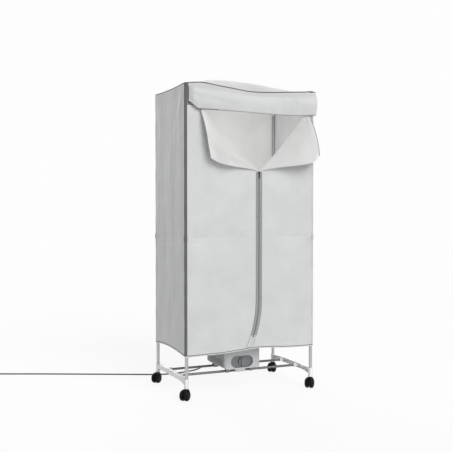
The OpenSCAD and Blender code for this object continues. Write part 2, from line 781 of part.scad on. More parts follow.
module timer_unit() {
  back_y = recess_floor_y + 2.5 + seat_gap;
  color("ivory") translate([knob_x, 0, knob_z]) difference() {
    union() {
      translate([-20, back_y, -18]) cube([40, 22, 36]);
      rod_y(16, back_y + 20, back_y + 28);
    }
    rod_y(shaft_d + 2 * run_gap, back_y - cut, recess_floor_y + 14.5);
  }
}

module fan_motor() {
  color("lightgray") translate([heater_x, 0, heater_z + 9 + seat_gap]) difference() {
    union() {
      cylinder(d = 48, h = 18);
      cylinder(d = 40, h = 21);
    }
    translate([0, 0, 3]) cylinder(d = 5 + 2 * run_gap, h = 20);
  }
}

// Axial impeller: pitched blades between a hub and a clipped tip circle, on its shaft
module fan_impeller() {
  hub_d = 34;
  color("darkgray") translate([heater_x, 0, fan_z]) {
    cylinder(d = hub_d, h = 14);
    translate([0, 0, -25]) cylinder(d = 5, h = 26);
    intersection() {
      cylinder(d = fan_d, h = 14, $fn = 96);
      for (k = [0 : blade_count - 1]) rotate([0, 0, k * 360 / blade_count])
        translate([fan_d / 4 + 4, 0, 7]) rotate([28, 0, 0]) cube([fan_d / 2 - hub_d / 4, 26, 1.6], center = true);
    }
  }
}

// Ceramic heating block: aluminium fins in a frame whose two ears rest on the lower shell's ledges
module heating_element() {
  frame_l = 118;
  frame_w = 70;
  ear_l = heater_w - 2 * (housing_wall + 1.5);
  depth = 14;
  fin_pitch = (frame_l - 12) / fin_count;
  color("tan") translate([heater_x, 0, split_z - 4 + seat_gap]) {
    difference() {
      translate([-frame_l / 2, -frame_w / 2, 0]) cube([frame_l, frame_w, depth]);
      for (k = [0 : fin_count - 1]) translate([-frame_l / 2 + 6 + (k + 0.5) * fin_pitch - fin_pitch * 0.35, 0, -cut])
        for (s = [-1, 1]) translate([0, s * frame_w / 4 - frame_w / 4 + 4, 0])
          cube([fin_pitch * 0.7, frame_w / 2 - 8, depth + 2 * cut]);
    }
    for (s = [-1, 1]) translate([s * (frame_l + ear_l) / 4 - (ear_l - frame_l) / 4, -10, 0])
      cube([(ear_l - frame_l) / 2, 20, 4]);
  }
}

// Tapered strain relief: a flange inside the rear wall, a collar through it and a ribbed taper
module cord_gland() {
  bore_d = cord_d + 2 * fit_gap;
  inner_y = heater_rear - housing_wall - 3;
  color("#2a2a2c") translate([gland_x, 0, gland_z]) difference() {
    union() {
      rod_y(cord_d + 9, inner_y, inner_y + 2.6);
      rod_y(cord_d + 4.6, inner_y, heater_rear + 4);
      translate([0, heater_rear + 4, 0]) rotate([-90, 0, 0]) cylinder(d1 = cord_d + 5, d2 = cord_d + 1.6, h = 26);
    }
    for (k = [0 : 3]) translate([0, heater_rear + 8 + 5 * k, 0]) rotate([-90, 0, 0]) difference() {
      cylinder(d = 3 * cord_d, h = 2);
      translate([0, 0, -cut]) cylinder(d = cord_d + 2.2, h = 4);
    }
    rod_y(bore_d, inner_y - cut, gland_tip_y - 6);
  }
}

// ---------------------------------------------------------------- cover

// The top rests on the four capped posts and sags between them
module cover_top() {
  cols = 16;
  rows = 8;
  reach_x = side_x - piping_d - seat_gap;
  reach_y = -front_y - piping_d - seat_gap;
  corner_cut = 6;
  function half_row(y) = reach_x - max(0, abs(y) - reach_y + corner_cut);
  function grid(low) = [for (i = [0 : rows]) let (y = reach_y * sin(90 * (2 * i / rows - 1)))
    [for (j = [0 : cols]) let (x = lerp(-1, 1, j / cols) * half_row(y)) [x, y, top_sheet_z - top_drop(x, y) - low]]];
  color("gainsboro") sheet(grid(0), grid(cloth_t));
}

// Heights of a panel's rows: even steps up to the crease at the uprights' joints, then even steps again
function panel_rows(z0, z1, below, above) = [
  for (i = [0 : below + above]) i <= below ? lerp(z0, joint_z, i / below) : lerp(joint_z, z1, (i - below) / above)
];

// How far a panel stands out of its plane at a height: a crease at the joints and a slack belly
function slack(across, z) = sin(180 * across) * (3 * pow(sin(180 * (z - hem_h) / (cabinet_h - hem_h)), 2)
  - 5 * exp(-pow((z - joint_z) / 60, 2)));

module cover_side(side) {
  cols = 8;
  y_end = leg_y - seat_gap;
  function grid(inset) = [for (i = [0 : 13]) [for (j = [0 : cols]) let (
      y = lerp(y_end, -y_end, j / cols),
      z = panel_rows(hem_z(side * leg_x, y) + hem_band + seat_gap,
        cabinet_h - piping_d - seat_gap - top_drop(side * leg_x, y), 6, 7)[i]
    ) [side * (side_x + slack(j / cols, z) - inset), y, z]]];
  color("silver") sheet(grid(0), grid(cloth_t), side > 0);
}

module cover_back() {
  cols = 20;
  x_end = leg_x - seat_gap;
  function grid(inset) = [for (i = [0 : 13]) [for (j = [0 : cols]) let (
      x = lerp(x_end, -x_end, j / cols),
      z = panel_rows(hem_z(x, leg_y) + hem_band + seat_gap, cabinet_h - piping_d - seat_gap - top_drop(x, leg_y), 6, 7)[i]
    ) [x, -front_y + slack(j / cols, z) - inset, z]]];
  color("silver") sheet(grid(0), grid(cloth_t));
}

// The cover's floor closes it round the heater, and has a corner cut out for each upright
module cover_floor() {
  color("silver") difference() {
    translate([-leg_x - cover_r + seat_gap, -leg_y - cover_r + seat_gap, floor_z])
      cube([leg_span_x + 2 * (cover_r - seat_gap), leg_span_y + 2 * (cover_r - seat_gap), cloth_t]);
    translate([0, 0, floor_z - cut]) {
      linear_extrude(cloth_t + 2 * cut) heater_plan(-seat_gap);
      for (p = corners) translate([sign(p.x) * (abs(p.x) + 6), sign(p.y) * (abs(p.y) + 6), 0])
        cube([collar_d + 14, collar_d + 14, 3 * cloth_t + 2 * cut], center = true);
    }
  }
}

// One front panel. Its free upper corner is folded out and hangs in front of it, so that its outer
// face turns away, and the fold runs from the slider up to the panel's upper edge.
// side is -1 for the left panel and 1 for the right one. fold_x is where the fold meets the upper
// edge, and tip is the hanging corner as [distance from the zip, height over the slider, distance in front].
module front_panel(side, fold_x, tip, belly) {
  folded = 11;
  cols = folded + 1;
  below = 6;
  above = 5;
  outer_x = side * (leg_x - seat_gap);
  function edge_x(z) = zip_at(z) + side * zip_half;
  function fold(s) = [lerp(edge_x(slider_z), fold_x, s), lerp(slider_z, panel_top, s)];
  // hanging edge from the slider out to the tip: it leaves flat and lifts towards the tip
  function hang(s) = [edge_x(slider_z) + side * tip[0] * s,
    slider_z + tip[1] * (1.2 * s - 1.35 * pow(s, 2) + 1.15 * pow(s, 4)), front_y - 2 - tip[2] * ease(1.2 * s)];
  function flat_point(x, z) = [x, front_y - slack(max(0, min(1, (outer_x - x) / (outer_x - edge_x(z)) * 0.8)), z)
    * ease((abs(x - edge_x(z)) - 60) / 60) * ease((slider_z - z) / 120), z];
  function flap_point(s, t) = let (f = fold(s), h = hang(s)) [
    lerp(f[0], h[0], t), lerp(front_y, h[1 + 1], ease(t * 0.85 + 0.15)) - belly * s * sin(180 * t) - 0.6,
    lerp(f[1], h[1], t)
  ];
  // row heights below the slider follow the hem, and above it they step up the fold
  function row_z(i, x) = i <= below + above
    ? (i <= below ? lerp(hem_z(x, -leg_y) + hem_band + seat_gap, joint_z, i / below)
      : lerp(joint_z, slider_z, (i - below) / above))
    : lerp(slider_z, panel_top, (i - below - above) / folded);
  function point(i, j, inner) = let (r = i - below - above) (r <= 0 || j < cols - r)
    ? let (
        s = max(0, r) / folded,
        x0 = r <= 0 ? lerp(outer_x, edge_x(row_z(i, zip_x)), j / cols) : lerp(outer_x, fold(s)[0], j / (cols - r)),
        z = row_z(i, x0), p = flat_point(x0, z)
      ) [p.x, p.y + (inner ? cloth_t : 0), p.z]
    : j == cols - r
      ? let (f = fold(r / folded)) [f[0] - (inner ? side * 0.68 * cloth_t : 0), front_y, f[1] + (inner ? 0.73 * cloth_t : 0)]
      : let (p = flap_point(r / folded, (j - cols + r) / r)) [p.x, p.y - (inner ? cloth_t : 0), p.z];
  function grid(inner) = [for (i = [0 : below + above + folded]) [for (j = [0 : cols]) point(i, j, inner)]];
  color("lightgray") sheet(grid(false), grid(true), side > 0);
}

module front_panel_left() {
  front_panel(-1, -0.823 * leg_x, [left_reach, left_rise, left_lean], 14);
}

module front_panel_right() {
  front_panel(1, 0.933 * leg_x, [right_reach, right_rise, right_lean], 10);
}

// Gathered band over the tops of the two panels, tucked in at its lower left corner
module valance() {
  cols = 20;
  rows = 7;
  x0 = -leg_x + seat_gap;
  x1 = leg_x + 13;
  low = panel_top + valance_lap;
  tuck = 0.4 * panel_drop;
  function lower_edge(x) = let (u = (x - x0) / (x1 - x0))
    low - 8 * ease((u - 0.18) / 0.6) + 6 * ease((u - 0.8) / 0.2) + tuck * (1 - ease(11 * u + 0.1));
  // the right end passes in front of the corner's binding
  function puff(u, v) = 14 * ease(v * 1.6) + 4 * pow(v, 2) + 9 * sin(180 * min(1, v * 1.05)) * exp(-pow((u - 0.16) / 0.14, 2))
    + 2.2 * sin(180 * v) * sin(360 * u * 4.5) + 2 * cloth_t * ease((u - 0.9) / 0.05);
  function grid(inner) = [for (i = [rows : -1 : 0]) [for (j = [0 : cols]) let (
      u = j / cols, v = i / rows, x = lerp(x0, x1 - 6 * (1 - ease(v * 3)), u),
      top = cabinet_h - piping_d - seat_gap - top_drop(x, leg_y)
    ) [x, front_y - puff(u, v) + (inner ? cloth_t : 0), lerp(top, lower_edge(x), v)]]];
  color("lightgray") sheet(grid(false), grid(true));
}

// Bound corner seams: quarter rings round the collars of the uprights, from hem to piping
module corner_bindings() {
  color("dimgray") for (p = corners) {
    z0 = hem_z(p.x, p.y) + hem_band + seat_gap;
    h = cabinet_h - piping_d - seat_gap - top_drop(p.x, p.y) - z0;
    translate([p.x, p.y, z0]) intersection() {
      difference() {
        cylinder(r = cover_out_r + 0.4, h = h);
        translate([0, 0, -cut]) cylinder(r = cover_r, h = h + 2 * cut);
      }
      translate([p.x > 0 ? 0 : -2 * collar_d, p.y > 0 ? 0 : -2 * collar_d, -cut]) cube([2 * collar_d, 2 * collar_d, h + 2 * cut]);
    }
  }
}

module top_piping() {
  section = [for (k = [0 : 5]) [cover_out_r - piping_r + piping_r * cos(60 * k), -piping_r + piping_r * sin(60 * k)]];
  color("dimgray") rim_loop(section, false);
}

module hem_binding() {
  outer = cover_out_r + 0.6;
  color("dimgray") rim_loop([[outer, 0], [outer, hem_band], [outer - band_t, hem_band], [outer - band_t, 0]], true);
}

// ---------------------------------------------------------------- zip

// One half of the zip: tape and row of teeth, straight and then curved down to the hem
module zip_half_tape(side) {
  steps = 10;
  heights = concat([for (i = [0 : steps]) lerp(zip_foot_z, zip_bend_z, i / steps)], [slider_z - 2]);
  function at(w, y, z) = [zip_at(z) + side * (zip_half + w), y, z];
  function outer(z) = [at(tape_w, tape_y - tape_t, z), at(teeth_w, tape_y - tape_t, z), at(teeth_w - 0.3, teeth_y, z), at(0, teeth_y, z)];
  function inner(z) = [at(tape_w, tape_y, z), at(teeth_w, tape_y, z), at(teeth_w / 2, tape_y, z), at(0, tape_y, z)];
  sheet([for (z = heights) outer(z)], [for (z = heights) inner(z)], side > 0);
}

module zip_tapes() {
  color("#6d6e70") for (s = [-1, 1]) zip_half_tape(s);
}

// Slider: a front and a back plate joined by a post between the two rows, with ears for the pull
module zip_slider() {
  z0 = slider_z - slider_l;
  front = teeth_y - seat_gap;
  back = front_y + cloth_t + seat_gap;
  color("#3c3c3f") translate([zip_x, 0, z0]) difference() {
    union() {
      translate([-slider_w / 2, front - slider_t, 0]) cube([slider_w, slider_t, slider_l]);
      translate([-slider_w / 2, back, 0]) cube([slider_w, slider_t, slider_l]);
      translate([-zip_gap / 4, front - 0.5, slider_l - 5]) cube([zip_gap / 2, back - front + 1, 5]);
      for (s = [-1, 1]) translate([s * 2.9 - 0.7, front - slider_t - 3, slider_l / 2 - 2]) cube([1.4, 3.5, 4]);
      translate([0, pull_y, slider_l / 2]) rod_x(pull_pin_d, -3, 3);
    }
    for (s = [-1, 1]) translate([s * slider_w / 2, 0, 0]) rotate([0, s * 14, 0])
      translate([s * 2 - 2, front - 3 * slider_t, -slider_l]) cube([4, 20, slider_l * 1.6]);
  }
}

module zip_pull() {
  color("#3c3c3f") translate([zip_x, pull_y, slider_z - slider_l / 2]) difference() {
    union() {
      rod_x(pull_eye_d, -1.9, 1.9);
      translate([-1.9, -0.7, -8]) cube([3.8, 1.4, 8]);
      translate([-3, -0.7, -pull_l + 3]) cube([6, 1.4, pull_l - 10]);
      translate([0, 0, -pull_l + 3]) rod_y(6, -0.7, 0.7);
    }
    rod_x(pull_pin_d + 2 * run_gap, -5, 5);
    translate([0, 0, -pull_l + 4]) rod_y(2.6, -3, 3);
  }
}

// ---------------------------------------------------------------- mains lead

// Points between the route's own, on one smooth curve through them
function curve_point(p, q, r, s, t) = 0.5 * ((2 * q) + (r - p) * t + (2 * p - 5 * q + 4 * r - s) * t * t
  + (3 * q - p - 3 * r + s) * t * t * t);
function smooth_route(steps) = let (n = len(route)) concat(
  [for (i = [0 : n - 2], k = [0 : steps - 1]) curve_point(
    route[max(0, i - 1)], route[i], route[i + 1], route[min(n - 1, i + 2)], k / steps)],
  [route[n - 1]]
);
cord_heading = [cos(coil_heading), sin(coil_heading), 0];

// The stretch from the gland to the coil
module cord_run() {
  color("#2a2a2c") swept_tube(smooth_route(run_steps), cord_r, 8, [0, 1, 0], cord_heading);
}

// Two layers of one turn: the lead winds in, climbs a layer as it reverses, and winds out again
function coil_radius(a) = coil_r - coil_pitch * (a <= 360 ? a : 720 - a) / 360;
function coil_height(a) = coil_z + coil_layer * ease((a - 270) / 180);
rings_a_turn = 24;
coil_turns = [for (k = [0 : 2 * rings_a_turn]) let (a = 360 * k / rings_a_turn) [
  coil_centre.x + coil_radius(a) * cos(coil_turn + a),
  coil_centre.y + coil_radius(a) * sin(coil_turn + a),
  coil_height(a)
]];
coil_end = coil_turns[2 * rings_a_turn];
coil_tail = [for (k = [1 : 4]) let (t = k / 4)
  [coil_end.x + tail_l * t * cos(coil_heading), coil_end.y + tail_l * t * sin(coil_heading),
    lerp(coil_end.z, plug_axis_z, ease(t))]];
plug_start = coil_tail[3] + cord_d * cord_heading;
coil_path = concat([route[len(route) - 1]], coil_turns, coil_tail, [plug_start]);
// Least gap between the two turns, from each point of one to the points of the other
coil_gap = min([for (k = [1 : rings_a_turn - 3], m = [k + rings_a_turn - 3 : min(k + rings_a_turn + 3, 2 * rings_a_turn)])
  norm(coil_turns[k] - coil_turns[m])]) - cord_d;
echo("least gap between the turns of the coil", coil_gap);

// The wound end of the lead, and the band that ties its turns
module cord_coil_and_tie() {
  band_w = 8;
  color("#2a2a2c") swept_tube(coil_path, cord_r, 6, cord_heading, cord_heading);
  tie_at = coil_radius(180);
  tie_h = coil_layer + cord_d;
  color("#48484b") translate([coil_centre.x, coil_centre.y, 0]) rotate([0, 0, coil_turn + 180])
    translate([tie_at, 0, tie_t + tie_h / 2 + seat_gap]) difference() {
      cube([cord_d + 2 * (seat_gap + tie_t), band_w, tie_h + 2 * (seat_gap + tie_t)], center = true);
      cube([cord_d + 2 * seat_gap, band_w + 2 * cut, tie_h + 2 * seat_gap], center = true);
    }
}

// Round two-pin plug with a tapered strain relief, lying beside the coil
module mains_plug() {
  relief_l = 24;
  shoulder_l = 12;
  barrel_l = 24;
  color("#2a2a2c") translate(plug_start) rotate([0, 0, coil_heading]) rotate([0, 90, 0]) difference() {
    union() {
      cylinder(d1 = cord_d + 2, d2 = cord_d + 7, h = relief_l);
      translate([0, 0, relief_l]) cylinder(d1 = cord_d + 12, d2 = 2 * plug_r, h = shoulder_l);
      translate([0, 0, relief_l + shoulder_l]) cylinder(r = plug_r, h = barrel_l, $fn = 64);
      for (s = [-1, 1]) translate([0, s * pin_span / 2, relief_l + shoulder_l + barrel_l - cut])
        cylinder(d = pin_d, h = pin_l + cut);
    }
    for (s = [-1, 1]) translate([s * (plug_r + 2.4), 0, relief_l + shoulder_l + barrel_l - 12])
      translate([-4, -4, 0]) cube([8, 8, 20]);
  }
}

mirror([1, 0, 0]) base_bracket();  // base_bracket_left
base_bracket();  // base_bracket_right
rail(-rail_span / 2, base_rail_z);  // base_rail_front
rail(rail_span / 2, base_rail_z);  // base_rail_rear
lower_upright(corners[0]);  // lower_upright_fl
lower_upright(corners[1]);  // lower_upright_fr
lower_upright(corners[2]);  // lower_upright_rl
lower_upright(corners[3]);  // lower_upright_rr
upper_upright(corners[0]);  // upper_upright_fl
upper_upright(corners[1]);  // upper_upright_fr
upper_upright(corners[2]);  // upper_upright_rl
upper_upright(corners[3]);  // upper_upright_rr
upright_couplers();
mirror([1, 0, 0]) top_bracket();  // top_bracket_left
top_bracket();  // top_bracket_right
rail(-rail_span / 2, hang_z);  // hanging_rail_front
rail(rail_span / 2, hang_z);  // hanging_rail_rear
castor_housing(corners[0]);  // castor_fl_housing
castor_axle(corners[0]);  // castor_fl_axle
castor_wheel(corners[0], 1);  // castor_fl_wheel_a
castor_wheel(corners[0], -1);  // castor_fl_wheel_b
castor_housing(corners[1]);  // castor_fr_housing
castor_axle(corners[1]);  // castor_fr_axle
castor_wheel(corners[1], 1);  // castor_fr_wheel_a
castor_wheel(corners[1], -1);  // castor_fr_wheel_b
castor_housing(corners[2]);  // castor_rl_housing
castor_axle(corners[2]);  // castor_rl_axle
castor_wheel(corners[2], 1);  // castor_rl_wheel_a
castor_wheel(corners[2], -1);  // castor_rl_wheel_b
castor_housing(corners[3]);  // castor_rr_housing
castor_axle(corners[3]);  // castor_rr_axle
castor_wheel(corners[3], 1);  // castor_rr_wheel_a
castor_wheel(corners[3], -1);  // castor_rr_wheel_b
heater_lower_shell();
heater_upper_shell();
heater_fascia();
outlet_grille();
timer_knob();
timer_unit();
fan_motor();
fan_impeller();
heating_element();
cord_gland();
cover_top();
cover_back();
cover_side(-1);  // cover_left
cover_side(1);  // cover_right
cover_floor();
front_panel_left();
front_panel_right();
valance();
corner_bindings();
top_piping();
hem_binding();
zip_tapes();
zip_slider();
zip_pull();
cord_run();
cord_coil_and_tie();
mains_plug();
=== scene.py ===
"""Finishes of the portable drying cabinet: its cloth, zip and lead, the materials of its rigid
parts, and the floor, light and camera. Everything is in metres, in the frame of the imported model: the
origin is on the floor midway between the uprights, +X runs right along the front, +Y back, +Z up."""

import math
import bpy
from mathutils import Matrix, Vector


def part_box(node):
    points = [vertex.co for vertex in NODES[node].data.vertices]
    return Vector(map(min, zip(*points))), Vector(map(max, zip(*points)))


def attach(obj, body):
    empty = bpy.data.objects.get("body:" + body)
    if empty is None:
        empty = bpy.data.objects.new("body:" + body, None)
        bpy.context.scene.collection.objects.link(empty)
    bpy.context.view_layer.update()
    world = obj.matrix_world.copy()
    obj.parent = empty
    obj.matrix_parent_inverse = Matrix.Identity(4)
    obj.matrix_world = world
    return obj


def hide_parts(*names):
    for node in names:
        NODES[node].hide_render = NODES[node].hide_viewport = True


bl_info = {
    "name": "Drying cabinet finishes",
    "version": (1, 0, 0),
    "blender": (4, 5, 0),
    "location": "View3D > Sidebar > Cabinet",
    "description": "Cloth cover, zip, lead and materials of a portable drying cabinet",
    "category": "Object",
}

from math import pi, radians

import bmesh
import bpy
import numpy as np

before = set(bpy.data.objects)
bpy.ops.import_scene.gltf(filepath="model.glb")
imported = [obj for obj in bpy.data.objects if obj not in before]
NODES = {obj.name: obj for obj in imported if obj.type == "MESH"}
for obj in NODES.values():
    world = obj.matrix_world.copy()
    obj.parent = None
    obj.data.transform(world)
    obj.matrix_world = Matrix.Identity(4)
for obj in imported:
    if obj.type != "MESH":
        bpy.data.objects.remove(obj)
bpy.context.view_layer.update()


def middle(node):
    """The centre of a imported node's box."""
    low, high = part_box(node)
    return [(a + b) / 2 for a, b in zip(low, high)]


# ---- places, in metres

LEG_X, LEG_Y = (abs(v) for v in middle("lower_upright_fr")[:2])
JOINT_Z = middle("upright_couplers")[2]
SIDE_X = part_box("corner_bindings")[1][0] - 0.0004
FRONT_Y = -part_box("corner_bindings")[1][1] + 0.0004
COVER_R = SIDE_X - LEG_X
CLOTH = 0.001
SEAT = 0.0003
CABINET_H = 1.460
HEM_H, HEM_BAND = 0.203, 0.008
FRONT_ARCH, SIDE_ARCH, HEM_TILT, HEM_REACH = 0.012, 0.014, 0.004, 0.4 * LEG_X
TOP_SAG, SIDE_SAG, TOP_PUFF = 0.0195, 0.003, 0.010
SAG_X, SAG_LEFT, SAG_RIGHT = 0.020, 0.4 * LEG_X, 0.66 * LEG_X
PUFF_X, PUFF_REACH = -0.78 * LEG_X, 0.214 * LEG_X
PIPING_R = 0.0026
PANEL_TOP = CABINET_H - 0.095
ZIP_X, SLIDER_Z = 0.038, CABINET_H - 0.399
ZIP_BEND_Z, ZIP_RUN = 0.450, 0.060
ZIP_FOOT_Z = HEM_H + FRONT_ARCH + HEM_BAND + SEAT + 0.0005
ZIP_STOP_Z = 0.277
ZIP_HALF = 0.0006
TAPE_W, TEETH_W = 0.0155, 0.0028
TOOTH, TOOTH_STEP, STOP = (0.0026, 0.0011, 0.0013), 0.0026, (0.009, 0.0014, 0.006)
CORD_D = 0.007
FULL_TURN = 2 * pi
CORNERS = ("fl", "fr", "rl", "rr")
SQUARE = ((-1, -1), (1, -1), (1, 1), (-1, 1))
TOP_BRACKETS = ["top_bracket_left", "top_bracket_right"]


def ease(t):
    """Smooth step: 3 t^2 - 2 t^3 between 0 and 1."""
    t = np.clip(t, 0, 1)
    return t * t * (3 - 2 * t)


def lerp(a, b, t):
    """The value between a and b, at the share t of the way."""
    return a + (b - a) * t


def bell(distance, width):
    """A bell curve: 1 at the middle and 1/e at its width."""
    return np.exp(-((distance / width) ** 2))


def joined(*parts):
    """Coordinates brought to one shape and joined into points."""
    return np.stack(np.broadcast_arrays(*parts), -1)


def top_drop(x, y):
    """Fall of the cover's top under its corners: an uneven bell across the middle, a shallow arch
    along Y, and a second bell that lifts the front edge beside its left corner."""
    x = np.clip(x, -LEG_X, LEG_X)
    reach = np.where(x < SAG_X, SAG_LEFT, SAG_RIGHT)
    sag = TOP_SAG * bell(x - SAG_X, reach) * ease((LEG_X - x) / 0.05)
    puff = TOP_PUFF * bell(x - PUFF_X, PUFF_REACH) * ease(-y / LEG_Y)
    return sag + SIDE_SAG * np.maximum(0, 1 - (y / LEG_Y) ** 2) - puff


def hem_z(x, y):
    """Height of the hem: a bell beside the zip and a slight tilt in front, parabolic arches at the
    sides."""
    x, y = np.clip(x, -LEG_X, LEG_X), np.clip(y, -LEG_Y, LEG_Y)
    arch = FRONT_ARCH * bell(x - ZIP_X, HEM_REACH) * ease(-y / LEG_Y)
    front = ease(0.5 - 0.5 * y / LEG_Y) * (HEM_TILT * x / LEG_X + arch)
    return HEM_H + front + SIDE_ARCH * np.maximum(0, 1 - (y / LEG_Y) ** 2)


def over_hem(x, y):
    """Height of the cloth's lower edge, just over the hem's band."""
    return hem_z(x, y) + HEM_BAND + SEAT


def under_piping(x, y):
    """Height of the walls' upper edge, just under the piping."""
    return CABINET_H - 2 * PIPING_R - SEAT - top_drop(x, y)


def zip_at(z):
    """Sideways place of the zip: straight, then a parabola to the left below the bend."""
    return ZIP_X - ZIP_RUN * (np.maximum(0, ZIP_BEND_Z - z) / (ZIP_BEND_Z - HEM_H)) ** 2


def waves(a, b, seed, short, long, count=16):
    """Soft random ripples: sines of random heading, length and phase, scaled to about one."""
    rng = np.random.default_rng(seed)
    heading = rng.uniform(0, pi, count)
    length = rng.uniform(short, long, count)
    phase = rng.uniform(0, FULL_TURN, count)
    a, b = np.asarray(a)[..., None], np.asarray(b)[..., None]
    run = (a * np.cos(heading) + b * np.sin(heading)) / length
    return np.sin(FULL_TURN * run + phase).sum(-1) / math.sqrt(count)


def drag(a, b, at, heading, width, reach):
    """A drag fold: a bell-shaped ridge that starts at a point, runs along a heading and fades out."""
    along = (a - at[0]) * math.cos(heading) + (b - at[1]) * math.sin(heading)
    across = -(a - at[0]) * math.sin(heading) + (b - at[1]) * math.cos(heading)
    spread = width * (0.6 + 0.8 * np.clip(along / reach, 0, 1))
    return bell(across, spread) * ease(along / (0.15 * reach)) * (1 - ease(along / reach))


# ---- meshes


def sheet_shell(outer, inner, uv, flip=False, skins=(0, 0)):
    """A closed sheet between two grids of points: both faces and the edge all round.
    Rows rise and columns run to the right seen from the outer face; flip is for the other hand."""
    rows, cols = outer.shape[:2]
    at = np.arange(rows * cols).reshape(rows, cols)
    quad = np.stack([at[:-1, :-1], at[:-1, 1:], at[1:, 1:], at[1:, :-1]], -1).reshape(-1, 4)
    ring = np.concatenate([at[0, :], at[1:, -1], at[-1, -2::-1], at[-2:0:-1, 0]])
    after = np.roll(ring, -1)
    edge = np.stack([after, ring, ring + rows * cols, after + rows * cols], -1)
    faces = np.concatenate([quad, quad[:, ::-1] + rows * cols, edge])
    skin = np.concatenate([np.full(len(quad), skins[0]), np.full(len(quad) + len(edge), skins[1])])
    points = np.concatenate([outer.reshape(-1, 3), inner.reshape(-1, 3)])
    flat = np.concatenate([uv.reshape(-1, 2)] * 2)
    return points, faces[:, ::-1] if flip else faces, flat, skin


def tube_shell(path, radius, sides, ends):
    """A round tube: a circle carried along a path, square to it, closed by a face at each end."""
    path = np.asarray(path, float)
    tangent = np.gradient(path, axis=0)
    tangent[[0, -1]] = ends
    tangent /= np.linalg.norm(tangent, axis=1, keepdims=True)
    side = np.cross(tangent, [0, 0, 1])
    side /= np.linalg.norm(side, axis=1, keepdims=True)
    up = np.cross(side, tangent)
    angle = FULL_TURN * np.arange(sides) / sides
    cos, sin = np.cos(angle)[None, :, None], np.sin(angle)[None, :, None]
    circle = cos * side[:, None] + sin * up[:, None]
    points = path[:, None] + radius * circle
    at = np.arange(points.shape[0] * sides).reshape(-1, sides)
    turn = np.roll(at, -1, axis=1)
    faces = np.stack([at[:-1], turn[:-1], turn[1:], at[1:]], -1).reshape(-1, 4).tolist()
    faces += [at[0, ::-1].tolist(), at[-1].tolist()]
    length = np.concatenate([[0], np.cumsum(np.linalg.norm(np.diff(path, axis=0), axis=1))])
    around = np.broadcast_to(np.arange(sides) / sides * FULL_TURN * radius, points.shape[:2])
    uv = joined(around, length[:, None])
    return points.reshape(-1, 3), faces, uv.reshape(-1, 2), np.zeros(len(faces), int)


def loop_shell(stations, outward, section, height):
    """A closed loop round the cover: a section of [outward, up] points carried round it in plan."""
    section = np.asarray(section)
    points = np.zeros((len(stations), len(section), 3))
    points[..., :2] = stations[:, None] + section[None, :, :1] * outward[:, None]
    points[..., 2] = height[:, None] + section[None, :, 1]
    count = len(section)
    at = np.arange(len(stations) * count).reshape(-1, count)
    far, turn = np.roll(at, -1, axis=0), np.roll(at, -1, axis=1)
    faces = np.stack([at, far, np.roll(far, -1, axis=1), turn], -1).reshape(-1, 4)
    step = np.linalg.norm(np.roll(stations, -1, axis=0) - stations, axis=1)
    run = np.concatenate([[0], np.cumsum(step)[:-1]])
    round_it = np.concatenate([[0], np.cumsum(np.linalg.norm(np.diff(section, axis=0), axis=1))])
    uv = joined(round_it[None], run[:, None])
    return points.reshape(-1, 3), faces, uv.reshape(-1, 2), np.zeros(len(faces), int)


def block_shell(places, size):
    """Many small blocks: the eight corners of a box, each carried with its lowest to a place."""
    unit = np.array([[x, y, z] for x in (0, 1) for y in (0, 1) for z in (0, 1)], float)
    points = places[:, None] + unit[None] * np.asarray(size)
    sides = [[0, 1, 3, 2], [4, 6, 7, 5], [0, 4, 5, 1], [2, 3, 7, 6], [0, 2, 6, 4], [1, 5, 7, 3]]
    faces = (np.arange(len(places))[:, None, None] * 8 + sides).reshape(-1, 4)
    return points.reshape(-1, 3), faces, np.zeros((len(places) * 8, 2)), np.zeros(len(faces), int)


def piece(name, shells, finishes, nodes=(), weld=0.0, smooth=True):
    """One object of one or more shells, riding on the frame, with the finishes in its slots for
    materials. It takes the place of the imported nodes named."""
    points, faces, uvs, skins, start = [], [], [], [], 0
    for part_points, part_faces, part_uv, part_skin in shells:
        points.append(part_points)
        faces += [[i + start for i in face] for face in np.asarray(part_faces, object).tolist()]
        uvs.append(part_uv)
        skins.append(part_skin)
        start += len(part_points)
    mesh = bpy.data.meshes.new(name)
    mesh.from_pydata(np.concatenate(points).tolist(), [], faces)
    corners = np.zeros(len(mesh.loops), np.int32)
    mesh.loops.foreach_get("vertex_index", corners)
    layer = mesh.uv_layers.new(name="flat")
    layer.data.foreach_set("uv", np.concatenate(uvs)[corners].astype(np.float32).ravel())
    mesh.polygons.foreach_set("material_index", np.concatenate(skins).astype(np.int32))
    mesh.polygons.foreach_set("use_smooth", np.full(len(mesh.polygons), smooth))
    for finish in finishes:
        mesh.materials.append(finish)
    mesh.update()
    made = bpy.data.objects.new(name, mesh)
    bpy.context.scene.collection.objects.link(made)
    if weld:
        work = bmesh.new()
        work.from_mesh(mesh)
        bmesh.ops.remove_doubles(work, verts=work.verts, dist=weld)
        bmesh.ops.dissolve_degenerate(work, edges=work.edges, dist=weld / 10)
        work.to_mesh(mesh)
        work.free()
    if smooth:
        mesh.set_sharp_from_angle(angle=radians(50))
    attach(made, "frame")
    if nodes:
        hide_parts(*nodes)
    return made


def face_normals(grid):
    """Unit normals of a grid of points, from the cross product of its two gradients."""
    normal = np.cross(np.gradient(grid, axis=1), np.gradient(grid, axis=0))
    return normal / np.maximum(np.linalg.norm(normal, axis=-1, keepdims=True), 1e-12)


# ---- materials


def rgb(code):
    """An sRGB hex colour as the linear numbers that Blender's sockets take."""
    values = [int(code[i : i + 2], 16) / 255 for i in (1, 3, 5)]
    return [v / 12.92 if v <= 0.04045 else ((v + 0.055) / 1.055) ** 2.4 for v in values] + [1.0]


